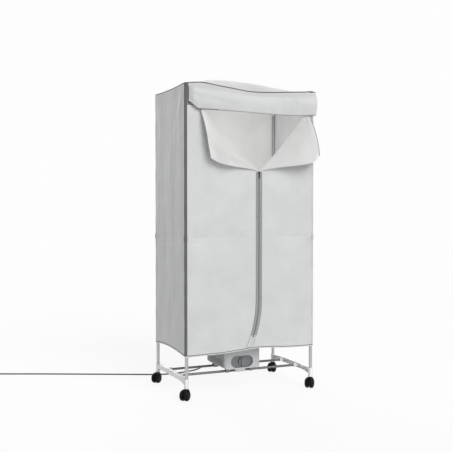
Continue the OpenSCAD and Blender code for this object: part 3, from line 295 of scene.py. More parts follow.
def add(tree, kind, sockets=None, **settings):
    """Adds a node with its settings; a socket takes a number, a colour or another node's output."""
    node = tree.nodes.new("ShaderNode" + kind)
    for key, value in settings.items():
        setattr(node, key, value)
    for key, value in (sockets or {}).items():
        if isinstance(value, bpy.types.NodeSocket):
            tree.links.new(value, node.inputs[key])
        else:
            node.inputs[key].default_value = value
    return node


def start_material(name, **shader):
    """A material with one Principled shader, whose plain sockets are set here, and its coordinates."""
    made = bpy.data.materials.new(name)
    made.use_nodes = True
    tree = made.node_tree
    tree.nodes.clear()
    sockets = {key.replace("_", " "): value for key, value in shader.items()}
    surface = add(tree, "BsdfPrincipled", sockets)
    add(tree, "OutputMaterial", {"Surface": surface.outputs["BSDF"]})
    return made, tree, surface, add(tree, "TexCoord").outputs


def noise(tree, vector, scale, detail=2.0, **sockets):
    """Noise with so many cells to the metre, from 0 to 1."""
    sockets = {"Vector": vector, "Scale": scale, "Detail": detail, **sockets}
    return add(tree, "TexNoise", sockets).outputs["Fac"]


def bands(tree, vector, scale, distortion, direction):
    """Soft parallel bands, from 0 to 1."""
    sockets = {"Vector": vector, "Scale": scale, "Distortion": distortion}
    return add(tree, "TexWave", sockets, bands_direction=direction).outputs["Fac"]


def arithmetic(tree, operation, *terms):
    """The result of one operation on numbers or other nodes' outputs."""
    return add(tree, "Math", dict(enumerate(terms)), operation=operation).outputs[0]


def two_tone(tree, factor, low, high):
    """Mixes two colours by a factor."""
    return add(tree, "Mix", {"Factor": factor, 6: low, 7: high}, data_type="RGBA").outputs[2]


def shade(code, amount):
    """The same hue a little darker or lighter."""
    return [min(1, v * amount) for v in rgb(code)[:3]] + [1.0]


def mottle(tree, surface, factor, code, low, high):
    """Base colour that varies by a factor between low and high times the colour."""
    colour = two_tone(tree, factor, shade(code, low), shade(code, high))
    tree.links.new(colour, surface.inputs["Base Color"])


def vary_roughness(tree, surface, factor, low, high):
    """Roughness that varies by a factor between low and high."""
    span = add(tree, "MapRange", {"Value": factor, "To Min": low, "To Max": high})
    tree.links.new(span.outputs["Result"], surface.inputs["Roughness"])


def bump(tree, surface, height, depth, strength, **under):
    """Bump of a real depth in metres; under gives the Normal of a bump below this one."""
    sockets = {"Height": height, "Distance": depth, "Strength": strength, **under}
    normal = add(tree, "Bump", sockets).outputs["Normal"]
    tree.links.new(normal, surface.inputs["Normal"])
    return normal


def coated_cloth(name, code, roughness, sheen=0.25, through=0.12):
    """Polyester cloth with a silver-grey coat, plain-woven and coated on one face: faint threads, soft
    random dimples where it has been folded, and a slightly uneven grey. Some light passes through the
    thin cloth, which keeps the inside of the cabinet bright."""
    made, tree, surface, place = start_material(
        name,
        Roughness=roughness,
        IOR=1.46,
        Sheen_Weight=sheen,
        Sheen_Roughness=0.5,
        Subsurface_Weight=through,
        Subsurface_Radius=(1, 1, 1),
        Subsurface_Scale=0.008,
    )
    # mottling of the coat, about 90 mm across
    cloud = noise(tree, place["Object"], 11.0, 3.0)
    level = add(tree, "MapRange", {"Value": cloud, "From Min": 0.3, "From Max": 0.7})
    mottle(tree, surface, level.outputs["Result"], code, 0.955, 1.03)
    # threads: real ones lie 0.25 mm apart, drawn 1.6 mm apart so that they show at all
    threads = [bands(tree, place["UV"], 31.0, 0.4, direction) for direction in "XY"]
    weave = arithmetic(tree, "MULTIPLY", *threads)
    # crumple left by folding, 20 to 60 mm across
    crumple = noise(tree, place["Object"], 26.0, 4.0, Roughness=0.5)
    low = bump(tree, surface, crumple, 0.0045, 0.45)
    bump(tree, surface, weave, 0.00006, 0.5, Normal=low)
    return made


def woven_tape(name, code, rib=0.0016):
    """Grosgrain edge tape, woven from polyester yarn: fine ribs across it and a dull, even colour."""
    made, tree, surface, place = start_material(name, Roughness=0.85, IOR=1.5, Sheen_Weight=0.2)
    ribs = bands(tree, place["UV"], 0.05 / rib, 0.2, "Y")
    mottle(tree, surface, noise(tree, place["Object"], 60.0), code, 0.85, 1.15)
    bump(tree, surface, ribs, 0.0002, 0.6)
    return made


def moulded(name, code, roughness, grain=0.0008, depth=0.00005, tone=0.03, **extra):
    """Injection-moulded plastic: the tool's spark grain as a fine bump, and roughness that varies a
    little where it has been handled."""
    made, tree, surface, place = start_material(name, IOR=1.5, **extra)
    spark = noise(tree, place["Object"], 1 / grain)
    cloud = noise(tree, place["Object"], 18.0, 3.0)
    mottle(tree, surface, cloud, code, 1 - tone, 1 + tone)
    vary_roughness(tree, surface, cloud, roughness - 0.06, roughness + 0.08)
    bump(tree, surface, spark, depth, 0.6)
    return made


def metal(name, code, roughness, streak=(1, 1, 1), scale=900.0):
    """Drawn or pressed metal: fine streaks along the way it was drawn, in colour and in gloss."""
    made, tree, surface, place = start_material(name, Metallic=1.0)
    stretch = add(tree, "Mapping", {"Vector": place["Object"], "Scale": streak})
    lines = noise(tree, stretch.outputs["Vector"], scale, 3.0)
    mottle(tree, surface, lines, code, 0.9, 1.08)
    vary_roughness(tree, surface, lines, roughness - 0.05, roughness + 0.07)
    bump(tree, surface, lines, 0.00002, 0.5)
    return made


def fascia_plastic(name, face, recess):
    """Satin ABS, moulded in light grey, with the timer recess sprayed a darker grey: everything behind
    the face's plane and inside the recess's rounded outline takes the darker colour."""
    made, tree, surface, place = start_material(name, IOR=1.52, Coat_Weight=0.15, Coat_Roughness=0.2)
    xyz = add(tree, "SeparateXYZ", {"Vector": place["Object"]}).outputs
    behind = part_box("heater_fascia")[0][1] + 0.0004
    centre_x, centre_z = middle("timer_knob")[0] - 0.004, middle("timer_knob")[2]
    half_run, radius = 0.030, 0.0293
    along = arithmetic(tree, "ABSOLUTE", arithmetic(tree, "SUBTRACT", xyz["X"], centre_x))
    past = arithmetic(tree, "MAXIMUM", arithmetic(tree, "SUBTRACT", along, half_run), 0.0)
    rise = arithmetic(tree, "SUBTRACT", xyz["Z"], centre_z)
    spot = add(tree, "CombineXYZ", {"X": past, "Z": rise})
    reach = add(tree, "VectorMath", {0: spot.outputs[0]}, operation="LENGTH")
    inside = arithmetic(tree, "LESS_THAN", reach.outputs["Value"], radius)
    deep = arithmetic(tree, "GREATER_THAN", xyz["Y"], behind)
    cloud = noise(tree, place["Object"], 22.0)
    light = two_tone(tree, cloud, shade(face, 0.97), shade(face, 1.03))
    colour = two_tone(tree, arithmetic(tree, "MULTIPLY", inside, deep), light, rgb(recess))
    tree.links.new(colour, surface.inputs["Base Color"])
    vary_roughness(tree, surface, cloud, 0.3, 0.42)
    bump(tree, surface, noise(tree, place["Object"], 1400.0), 0.00003, 0.5)
    return made


def dress(names, finish):
    """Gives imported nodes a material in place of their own."""
    for name in names:
        node = NODES[name]
        node.data.materials.clear()
        node.data.materials.append(finish)


# ---- sizes and colours a user would change


def hex_property(label, code, about):
    about += ", as an sRGB hex colour"
    return bpy.props.StringProperty(name=label, description=about, default=code)


def length_property(label, metres, about):
    return bpy.props.FloatProperty(name=label, description=about, default=metres, unit="LENGTH")


def strength_property(label, value, about):
    return bpy.props.FloatProperty(name=label, description=about, default=value, min=0)


class CabinetLooks(bpy.types.PropertyGroup):
    """Sizes and colours of the finishes."""

    cloth_colour: hex_property("Cloth", "#c4c5c5", "Outer face of the cover")
    lining_colour: hex_property("Lining", "#e2e2e0", "Inner face of the cover")
    tape_colour: hex_property("Edge tape", "#5b5b5c", "Tape along the edges")
    crease: length_property("Crease", 0.005, "Depth of the crease at the joints")
    ripple: length_property("Ripple", 0.0012, "Height of the cloth's soft ripples")
    dome: length_property("Dome", 0.078, "Rise of the top sheet between its edges")
    gather: length_property("Gather", 0.004, "Depth of the gathers in the valance")
    key_light: strength_property("Key light", 2.0, "Strength of the soft key light")
    fill_light: strength_property("Fill light", 0.6, "Strength of the light beside the camera")
    inner_light: strength_property("Inner light", 0.95, "Power of the lamp inside the cover, in watts")
    rim_light: strength_property("Rim light", 1.3, "Strength of the soft light from behind")
    room_light: strength_property("Room light", 0.3, "Strength of the light from all round")


def looks():
    return bpy.context.scene.cabinet_looks


# ---- camera, floor and light


# the camera as fitted to the photograph; its focal length counts in pixels of a picture that wide
CAMERA_AT, CAMERA_TILT, CAMERA_TURN = (-1.616, -3.598, 0.898), -1.466, -23.66
FOCAL_PX, PICTURE_PX, SENSOR_MM = 788.26, 452, 36
FLOOR_REACH, FLOOR_WHITE, WORLD_WHITE = 14.0, 0.86, 0.985
WHITE = (1, 1, 1, 1)
# each sun's width and turn in degrees: the key high in front, the fill beside the camera, the rim low
# behind; its strength is the property that begins with its name
SUNS = {"key": (36, (56, 0, 9)), "fill": (50, (84, 0, -24)), "rim": (60, (-66, 0, -10))}
INNER_AT, INNER_R = (0.03, -0.02, 1.22), 0.12


def seen_ray(tree):
    """1 where the camera sees a surface, directly, in a reflection or through glass, 0 for light."""
    rays = add(tree, "LightPath").outputs
    either = arithmetic(tree, "MAXIMUM", rays["Is Camera Ray"], rays["Is Glossy Ray"])
    return arithmetic(tree, "MAXIMUM", either, rays["Is Transmission Ray"])


def put(name, data, at=(0, 0, 0), turn=(0, 0, 0)):
    """An object in the scene, at a place and turned by angles in degrees."""
    made = bpy.data.objects.new(name, data)
    made.location = at
    made.rotation_euler = [radians(value) for value in turn]
    bpy.context.scene.collection.objects.link(made)
    return made


class CABINET_OT_stage(bpy.types.Operator):
    """Sets the camera, the pale floor and the soft light"""

    bl_idname = "cabinet.stage"
    bl_label = "Camera, floor and light"

    def execute(self, context):
        scene = context.scene
        scene.view_settings.view_transform = "Standard"
        lens = bpy.data.cameras.new("camera")
        lens.sensor_fit = "HORIZONTAL"
        lens.sensor_width = SENSOR_MM
        lens.lens = SENSOR_MM * FOCAL_PX / PICTURE_PX
        lens.clip_end = 60
        scene.camera = put("camera", lens, CAMERA_AT, (90 + CAMERA_TILT, 0, CAMERA_TURN))

        mesh = bpy.data.meshes.new("floor")
        corners = [(x * FLOOR_REACH, y * FLOOR_REACH, 0) for x, y in SQUARE]
        mesh.from_pydata(corners, [], [(0, 1, 2, 3)])
        put("floor", mesh)
        # matt white paper sweep: pale, even, and it keeps the shadow
        paper, tree, surface, place = start_material("matt_white_paper", Roughness=0.95)
        tone = two_tone(tree, noise(tree, place["Object"], 3.0), rgb("#f7f7f7"), rgb("#fbfbfb"))
        tree.links.new(tone, surface.inputs["Base Color"])
        # seen directly or in a reflection, most of it is plain white: only a faint shadow is left
        white = add(tree, "Emission", {"Color": WHITE, "Strength": 1.0})
        share = arithmetic(tree, "MULTIPLY", seen_ray(tree), FLOOR_WHITE)
        paper_mix = add(tree, "MixShader", {0: share, 1: surface.outputs[0], 2: white.outputs[0]})
        tree.links.new(paper_mix.outputs[0], tree.nodes["Material Output"].inputs["Surface"])
        mesh.materials.append(paper)

        world = bpy.data.worlds.new("studio")
        scene.world = world
        world.use_nodes = True
        tree = world.node_tree
        tree.nodes.clear()
        # what is seen of the room is as pale as the paper floor, so that no horizon shows
        room = add(tree, "Background", {"Color": WHITE, "Strength": looks().room_light})
        seen = add(tree, "Background", {"Color": WHITE, "Strength": WORLD_WHITE})
        mix = add(tree, "MixShader", {0: seen_ray(tree), 1: room.outputs[0], 2: seen.outputs[0]})
        add(tree, "OutputWorld", {"Surface": mix.outputs[0]})

        for name, (width, turn) in SUNS.items():
            lamp = bpy.data.lights.new(name, "SUN")
            lamp.energy = getattr(looks(), name + "_light")
            lamp.angle = radians(width)
            put(name, lamp, turn=turn)
        # a weak round lamp inside lightens the lining; it is never seen itself
        lamp = bpy.data.lights.new("inner", "POINT")
        lamp.energy = looks().inner_light
        lamp.shadow_soft_size = INNER_R
        inner = put("inner", lamp, INNER_AT)
        inner.visible_camera = inner.visible_glossy = False
        return {"FINISHED"}


# ---- mains lead

# The lead's chosen route, in metres: out of the gland, down behind the heater, over the floor
LEAD_ROUTE = np.array(
    [
        [-20, 148, 149], [-20, 162, 148], [-14, 184, 131], [-10, 202, 108],
        [-8, 222, 82], [-10, 246, 56], [-15, 276, 42.5], [-23.5, 306, 36],
        [-32.5, 332, 29], [-42.5, 354, 18.5], [-56, 368, 9.5], [-76, 372, 5.2],
        [-99, 368, 4], [-122, 363, 3.6], [-160, 354, 3.6], [-212, 348, 3.6],
        [-270, 356, 3.6], [-340, 386, 3.6], [-420, 424, 3.6], [-520, 471, 3.6],
        [-630, 522, 3.6], [-740, 573, 3.6], [-850, 624, 3.6], [-950, 668, 3.6],
        [-1040, 707, 3.8], [-1075, 725, 4.4],
    ]
) / 1000
COIL_CENTRE = np.array([-1.112, 0.704])
COIL_R, COIL_PITCH, COIL_LAYER, COIL_Z = 0.042, 0.008, 0.0077, 0.0048
COIL_TURN = radians(66.2)
PLUG_Z, TAIL = 0.0181, 0.040


def smooth_path(points, steps):
    """A Catmull-Rom curve through the points: a cubic in t to each stretch, set by four points."""
    padded = np.concatenate([points[:1], points, points[-1:]])
    p, q, r, s = (padded[k : k + len(points) - 1, None] for k in range(4))
    t = (np.arange(steps) / steps)[None, :, None]
    cubic = 2 * q + (r - p) * t + (2 * p - 5 * q + 4 * r - s) * t**2 + (3 * q - p - 3 * r + s) * t**3
    return np.concatenate([(0.5 * cubic).reshape(-1, 3), points[-1:]])


def lead_path(steps=6, ring=48):
    """The whole lead: its route, two turns that wind in, climb a layer and wind out, and the tail."""
    heading = np.array([-math.sin(COIL_TURN), math.cos(COIL_TURN), 0])
    start = np.array([*COIL_CENTRE, COIL_Z])
    start[:2] += COIL_R * np.array([math.cos(COIL_TURN), math.sin(COIL_TURN)])
    run = smooth_path(np.concatenate([LEAD_ROUTE, [start - CORD_D * heading]]), steps)
    turn = np.arange(2 * ring + 1) / ring
    radius = COIL_R - COIL_PITCH * np.where(turn <= 1, turn, 2 - turn)
    angle = COIL_TURN + FULL_TURN * turn
    height = COIL_Z + COIL_LAYER * ease((turn - 0.75) / 0.5)
    centre_x, centre_y = COIL_CENTRE
    coil = joined(centre_x + radius * np.cos(angle), centre_y + radius * np.sin(angle), height)
    t = np.arange(1, 9)[:, None] / 8
    tail = coil[-1] + TAIL * t * heading
    tail[:, 2] = lerp(coil[-1, 2], PLUG_Z, ease(t[:, 0]))
    return np.concatenate([run, coil, tail, tail[-1:] + CORD_D * heading]), heading


class CABINET_OT_lead(bpy.types.Operator):
    """Makes the mains lead with its coil and tie, and finishes the plug and the strain relief"""

    bl_idname = "cabinet.lead"
    bl_label = "Mains lead"

    def execute(self, context):
        # PVC sheath, extruded: black, a little soft in its gloss
        sheath = moulded("pvc_sheath_black", "#2b2b2d", 0.48, grain=0.0015, depth=0.00004, tone=0.12)
        path, heading = lead_path()
        shell = tube_shell(path, CORD_D / 2, 14, ([0, 1, 0], heading))
        taken = ["cord_run", "cord_coil_and_tie"]
        lead = piece("mains_lead", [shell], [sheath], taken)

        # the tie: a flat band with rounded corners, looped once round both layers of the coil
        band = np.linspace(0, FULL_TURN, 49)[:-1]
        play = 0.0008
        half_w, half_h = CORD_D / 2 + play, (COIL_LAYER + CORD_D) / 2 + play
        cos, sin = np.cos(band), np.sin(band)
        sideways = np.abs(cos) ** 0.5 * np.sign(cos) * half_w
        outline = joined(sideways, np.abs(sin) ** 0.35 * np.sign(sin) * half_h)
        angle = COIL_TURN + pi
        out = np.array([math.cos(angle), math.sin(angle), 0])
        along = np.array([-math.sin(angle), math.cos(angle), 0])
        centre = np.array([*COIL_CENTRE, 0]) + out * (COIL_R - COIL_PITCH / 2)
        centre[2] = 0.0014 + half_h
        width = np.linspace(-0.004, 0.004, 5)
        skin = centre + outline[None, :, :1] * out + width[:, None, None] * along
        skin[..., 2] += outline[None, :, 1]
        skin = np.concatenate([skin, skin[:, :1]], axis=1)
        away = skin - centre - width[:, None, None] * along
        away /= np.linalg.norm(away, axis=-1, keepdims=True)
        flat = np.stack(np.meshgrid(np.linspace(0, 0.045, skin.shape[1]), width), -1)
        shell = sheet_shell(skin + away * 0.0005, skin - away * 0.0004, flat)
        vinyl = moulded("vinyl_tie", "#4a4a4c", 0.55)
        tie = piece("lead_tie", [shell], [vinyl], weld=1e-6)
        plastic = moulded("pvc_plug_black", "#232325", 0.42, grain=0.0011)
        dress(["mains_plug", "cord_gland"], plastic)
        return {"FINISHED"}


# ---- rigid parts


class CABINET_OT_tubes(bpy.types.Operator):
    """Finishes the uprights, the cross rails, the joint collars and the end brackets"""

    bl_idname = "cabinet.tubes"
    bl_label = "Tubes and brackets"

    def execute(self, context):
        # powder-coated steel tube in satin silver-grey: soft highlight down its length
        upright = metal("powder_coated_steel_tube", "#b4b6b9", 0.34, streak=(1, 1, 0.05), scale=420.0)
        uprights = [f"{half}_upright_{corner}" for half in ("lower", "upper") for corner in CORNERS]
        dress(uprights, upright)
        # chromed rail, its colour painted darker than chrome as a painted reflection of dark
        # surroundings: darker and sharper than the uprights
        rail = metal("dark_chromed_rail", "#6d6f72", 0.3, streak=(0.05, 1, 1), scale=500.0)
        rails = [f"{kind}_rail_{place}" for kind in ("base", "hanging") for place in ("front", "rear")]
        dress(rails, rail)
        # white polypropylene, moulded with a light grain
        glow = {"Subsurface_Weight": 0.5, "Subsurface_Radius": (1, 1, 1), "Subsurface_Scale": 0.006}
        white = moulded("white_polypropylene", "#ececec", 0.34, grain=0.001, tone=0.015, **glow)
        sides = [f"{place}_bracket_{side}" for place in ("base", "top") for side in ("left", "right")]
        dress(sides, white)
        dress(["upright_couplers"], moulded("grey_nylon_collar", "#6a6b6d", 0.5))
        return {"FINISHED"}


class CABINET_OT_castors(bpy.types.Operator):
    """Finishes the castors"""

    bl_idname = "cabinet.castors"
    bl_label = "Castors"

    def execute(self, context):
        # glass-filled nylon wheels: near black, with a dull sheen worn into the tread
        dull = {"Specular_IOR_Level": 0.12}
        tyre = moulded("nylon_wheel_black", "#09090a", 0.45, 0.0012, 0.00008, 0.15, **dull)
        hood = moulded("nylon_hood_black", "#0b0b0c", 0.36, grain=0.001, tone=0.1, **dull)
        pin = metal("turned_steel_pin", "#c9cacc", 0.25, scale=700.0)
        for corner in CORNERS:
            dress([f"castor_{corner}_wheel_a", f"castor_{corner}_wheel_b"], tyre)
            dress([f"castor_{corner}_housing"], hood)
            dress([f"castor_{corner}_axle"], pin)
        return {"FINISHED"}


class CABINET_OT_heater(bpy.types.Operator):
    """Finishes the fan heater"""

    bl_idname = "cabinet.heater"
    bl_label = "Fan heater"

    def execute(self, context):
        # ABS housing, spark-grained
        lower = moulded("abs_housing_grey", "#8e8f91", 0.5, depth=0.00009)
        upper = moulded("abs_cover_grey", "#98999b", 0.5, depth=0.00009)
        dress(["heater_lower_shell"], lower)
        dress(["heater_upper_shell"], upper)
        fascia = fascia_plastic("abs_fascia_satin", "#b6b7b8", "#6f7072")
        dress(["heater_fascia"], fascia)
        dress(["outlet_grille"], moulded("heatproof_grille", "#6b6c6f", 0.55))
        dress(["timer_knob"], moulded("abs_knob_satin", "#757678", 0.36, tone=0.05))
        dress(["timer_unit"], moulded("timer_case", "#dcd6c3", 0.5))
        dress(["fan_motor"], metal("zinc_plated_can", "#b9babd", 0.32))
        dress(["fan_impeller"], moulded("glass_filled_impeller", "#3d3d40", 0.45))
        fins = metal("aluminium_fins", "#c5c2bb", 0.38, streak=(1, 0.1, 0.1))
        dress(["heating_element"], fins)
        return {"FINISHED"}


# ---- cloth


# folds drawn inward from a joint: lift over the joint, depth and length of each
WALL_FOLDS = ((0.004, 0.0040, 0.13), (-0.018, 0.0030, 0.09), (0.022, 0.0022, 0.07))
PANEL_FOLDS = ((0.003, 0.0034, 0.20), (-0.016, 0.0024, 0.12))
WALL_ROWS = 181


def once(name, make, *values):
    """A material by its name, made at its first use."""
    return bpy.data.materials.get(name) or make(name, *values)


def cover_finishes():
    """The cover's outer and inner cloth."""
    return [
        once("silver_coated_polyester", coated_cloth, looks().cloth_colour, 0.55),
        once("uncoated_polyester_back", coated_cloth, looks().lining_colour, 0.75, 0.35, 0.75),
    ]


def edge_finish():
    """The dark tape along the edges."""
    return once("grosgrain_edge_tape", woven_tape, looks().tape_colour)


def cover_sheet(name, node, shell, trims=(), tapes=(), weld=0.0, **how):
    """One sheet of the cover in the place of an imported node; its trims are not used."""
    made = piece(name, [shell], [*cover_finishes(), *tapes], [node], weld)


def slack(across, z):
    """How far a panel stands out of its plane: a belly over the whole height, less a broad crease and
    two fine ones at the joints."""
    rise = 3 * np.sin(pi * (z - HEM_H) / (CABINET_H - HEM_H)) ** 2
    dent = looks().crease * 1000 * bell(z - JOINT_Z, 0.042)
    fine = 1.5 * bell(z - JOINT_Z - 0.004, 0.009) + 0.9 * bell(z - JOINT_Z + 0.026, 0.008)
    return np.sin(pi * np.clip(across, 0, 1)) * (rise - dent - fine) / 1000


def knuckle(distance, z):
    """The bump where the cloth is drawn over a joint's collar: a bell in both directions."""
    return 0.0032 * bell(distance, 0.022) * bell(z - JOINT_Z, 0.016) * ease(distance / 0.012)


def joint_folds(run, z, corner, inward, width, folds):
    """The folds drawn inward from the joint at a corner, 0 at the corner itself."""
    drawn = 0
    for lift, depth, reach in folds:
        drawn = drawn + depth * drag(run, z, (corner, JOINT_Z + lift), inward, width, reach)
    return ease(np.abs(run - corner) / 0.01) * drawn


def wall(name, node, along, plan, outward, seed, trims=()):
    """One plain wall of the cover: a ruled sheet from hem to piping, with belly, crease and ripples.
    along is its run from one binding to the next and plan its x and y, one of which is that run."""
    low, high = over_hem(*plan), under_piping(*plan)
    start, end = along[0], along[-1]
    t = np.linspace(0, 1, WALL_ROWS)[:, None]
    z = low * (1 - t) + high * t
    run = np.broadcast_to(along, z.shape)
    across = (run - start) / (end - start)
    # 1 in the middle and 0 along the sewn edges
    fade = ease(np.minimum(across, 1 - across) / 0.12)
    fade = fade * ease((z - low) / 0.05) * ease((high - z) / 0.05)
    out = slack(across, z) + looks().ripple * fade * waves(run, z * 0.35, seed, 0.05, 0.22)
    sway = 1.4 * waves(run, z, seed + 1, 0.5, 0.9, 6)
    out += 0.0016 * fade * np.sin(FULL_TURN * across * 2.5 + sway)
    for corner, other in ((start, end), (end, start)):
        inward, heading = (0, -62) if other > corner else (pi, -118)
        top = (corner, high.max())
        out += 0.0035 * fade * drag(run, z, top, radians(heading), 0.03, 0.5)
        out -= joint_folds(run, z, corner, inward, 0.008, WALL_FOLDS)
    out += knuckle(np.minimum(np.abs(run - start), np.abs(end - run)), z)
    grid = joined(*plan, z) + out[..., None] * np.asarray(outward)
    shell = sheet_shell(grid, grid - CLOTH * np.asarray(outward), joined(run, z), skins=(0, 1))
    flat = (abs(float(end - start)), float((high - low).mean()))
    cover_sheet(name, node, shell, trims, flat=flat, held="hung", rests_on=TOP_BRACKETS)


class CABINET_OT_walls(bpy.types.Operator):
    """Makes the two sides, the back, the top and the floor of the cover"""

    bl_idname = "cabinet.walls"
    bl_label = "Cover walls"

    def execute(self, context):
        end_y, end_x = LEG_Y - SEAT, LEG_X - SEAT
        run_y, run_x = np.linspace(end_y, -end_y, 73), np.linspace(end_x, -end_x, 101)
        back_y = run_y[::-1]
        wall("side_left", "cover_left", run_y, (-SIDE_X, run_y), (-1, 0, 0), 3, ["hem_tape"])
        wall("side_right", "cover_right", back_y, (SIDE_X, back_y), (1, 0, 0), 5)
        wall("back", "cover_back", run_x, (run_x, -FRONT_Y), (0, 1, 0), 7, ["corner_tape"])
        self.top()
        self.floor()
        return {"FINISHED"}

    def top(self):
        """The top: a sheet between the capped posts, sagging at its edges and domed between them."""
        half_x = SIDE_X - 2 * PIPING_R - SEAT
        half_y = -FRONT_Y - 2 * PIPING_R - SEAT
        y = half_y * np.sin(pi / 2 * np.linspace(-1, 1, 61))
        narrow = half_x - np.maximum(0, np.abs(y) - half_y + 0.006)
        across = np.linspace(-1, 1, 91)
        x = across[None] * narrow[:, None]
        y = np.broadcast_to(y[:, None], x.shape)
        fade = ease((1 - np.abs(x) / half_x) / 0.12) * ease((1 - np.abs(y) / half_y) / 0.15)
        z = CABINET_H - PIPING_R - top_drop(x, y)
        z += looks().ripple * 0.8 * fade * waves(x, y, 11, 0.08, 0.3)
        # warm air lifts the sheet between its edges
        z += looks().dome * np.cos(pi / 2 * x / half_x) * np.cos(pi / 2 * y / half_y)
        grid = joined(x, y, z)
        shell = sheet_shell(grid, grid - [0, 0, CLOTH], joined(x, y), skins=(0, 1))
        # the sheet was cut to the length of its two middle lines, over the dome
        lines = grid[len(grid) // 2], grid[:, grid.shape[1] // 2]
        flat = [float(np.linalg.norm(np.diff(line, axis=0), axis=1).sum()) for line in lines]
        how = {"flat": flat, "held": "stretched", "rests_on": TOP_BRACKETS}
        cover_sheet("top", "cover_top", shell, ["edge_piping"], **how)

    def floor(self):
        """The floor: a flat ring between the heater's outline and the cover's, both rounded boxes."""
        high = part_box("cover_floor")[1]
        heat_low, heat_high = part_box("heater_lower_shell")
        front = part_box("heater_fascia")[0][1]
        angle = np.linspace(0, FULL_TURN, 241)
        way = np.stack([np.cos(angle), np.sin(angle)], -1)

        def rounded_box(centre, half, power):
            """Superellipse: each way is scaled until |x/a|^n + |y/b|^n is one."""
            reach = (np.abs(way / half) ** power).sum(-1) ** (-1 / power)
            return centre + way * reach[:, None]

        middle_y = (front + heat_high[1]) / 2
        centre = np.array([(heat_low[0] + heat_high[0]) / 2, middle_y])
        gap, inset, leg_gap = 0.0012, 0.0005, 0.012
        half = np.array([(heat_high[0] - heat_low[0]) / 2, heat_high[1] - middle_y]) + gap
        hole = rounded_box(centre, half, 26.0)
        rim = rounded_box(np.zeros(2), np.array([high[0] - inset, high[1] - inset]), 18.0)
        # the corners are cut back clear of the uprights
        off = (np.abs(rim) - (np.array([LEG_X, LEG_Y]) - leg_gap)).min(-1)
        rim = rim - np.sign(rim) * np.maximum(0, off)[:, None]
        t = np.linspace(0, 1, 25)[:, None, None]
        flat = hole[None] * (1 - t) + rim[None] * t
        fade = ease(t / 0.15) * ease((1 - t) / 0.1)
        z = high[2] + 0.0015 * fade[..., 0] * waves(flat[..., 0], flat[..., 1], 13, 0.06, 0.2)
        z -= 0.004 * np.sin(pi * t[..., 0])
        grid = np.concatenate([flat, z[..., None]], -1)[:, ::-1]
        shell = sheet_shell(grid, grid - [0, 0, CLOTH], flat[:, ::-1], skins=(1, 0))
        size = (2 * float(high[0]), 2 * float(high[1]))
        area = size[0] * size[1] - 4 * float(half[0] * half[1])
        how = {"flat": size, "held": "stretched", "rests_on": ["heater_upper_shell"], "area": area}
        cover_sheet("floor_of_cover", "cover_floor", shell, weld=1e-6, **how)


# Front panels. s runs up the fold from the slider (0) to the panel's upper edge (1), and t runs over
# the folded corner from the fold (0) to its hanging edge (1).
FOLD_X = {-1: -0.823 * LEG_X, 1: 0.933 * LEG_X}
# hanging corner as reach from the zip, height over the slider and distance in front
TIP = {-1: (0.270, 0.061, 0.034), 1: (0.318, 0.083, 0.070)}
FLAP_BELLY = {-1: 0.014, 1: 0.010}
FOLD_R = 0.0022
PANEL_COLS, BEND_COLS, FLAP_COLS = 60, 9, 50


def front_panel_grid(side):
    """Points of one front panel's outer face and its inner face.
    Below the slider each row runs from the outer binding to the zip. Above it, a row runs to the fold,
    half-way round a small circle, and then over the hanging corner, which leans out towards its tip."""
    rows_low, rows_high = 120, 70
    outer_x = side * (LEG_X - SEAT)
    u = np.linspace(0, 1, PANEL_COLS + 1)

    # below the slider
    v = np.linspace(0, 1, rows_low)[:, None]
    edge = lambda z: zip_at(z) + side * ZIP_HALF
    guess = lerp(HEM_H + HEM_BAND + SEAT, SLIDER_Z, v)
    z = lerp(over_hem(lerp(outer_x, edge(guess), u), -LEG_Y), SLIDER_Z, v)
    low = joined(lerp(outer_x, edge(z), u), FRONT_Y, z)

    # above it, up to the fold
    s = np.linspace(0, 1, rows_high + 1)[1:, None]
    start = edge(SLIDER_Z)
    fold_x = start + (FOLD_X[side] - start) * (s + 0.05 * np.sin(pi * s))
    fold_z = SLIDER_Z + (PANEL_TOP - SLIDER_Z) * s
    up = joined(lerp(outer_x, fold_x, u), FRONT_Y, fold_z)

    # the hanging corner
    reach, tip_rise, tip_out = TIP[side]
    rise = 1.2 * s - 1.35 * s**2 + 1.15 * s**4
    hang = np.concatenate([start + side * reach * s, SLIDER_Z + tip_rise * rise], -1)
    fold = np.concatenate([fold_x, fold_z], -1)
    away = hang - fold
    span = np.linalg.norm(away, axis=-1, keepdims=True)
    way = away / span
    radius = np.minimum(FOLD_R, 0.25 * span / pi)
    bend = np.linspace(0, pi, BEND_COLS + 1)[1:]
    out_bend = radius * (1 - np.cos(bend))[None]
    side_bend = -radius * np.sin(bend)[None]
    t = np.linspace(0, 1, FLAP_COLS + 1)[None, 1:]
    lean = tip_out * ease(1.2 * s) * (ease(t * 0.85 + 0.15) - ease(0.15) * (1 - t) ** 2)
    belly = FLAP_BELLY[side] * s * np.sin(pi * t) * ease(t / 0.3)
    sway = 0.004 * s * t * np.sin(FULL_TURN * (1.6 * s + 0.2))
    # the right corner is creased from the fold's upper end down to its hanging edge, and the strip
    # beyond the crease falls back
    past = s - 0.97 + 0.19 * t
    back = 0.21 * (np.hypot(np.maximum(0, past), 0.012) - 0.012) - 0.004 * bell(past, 0.03)
    out_flap = 2 * radius + lean + belly + sway - (back * ease(t / 0.25) if side > 0 else 0)
    along = np.concatenate([side_bend, span * t], -1)
    forward = np.concatenate([out_bend, out_flap], -1)
    flap = joined(fold_x + way[:, :1] * along, FRONT_Y - forward, fold_z + way[:, 1:] * along)
    return low, up, flap


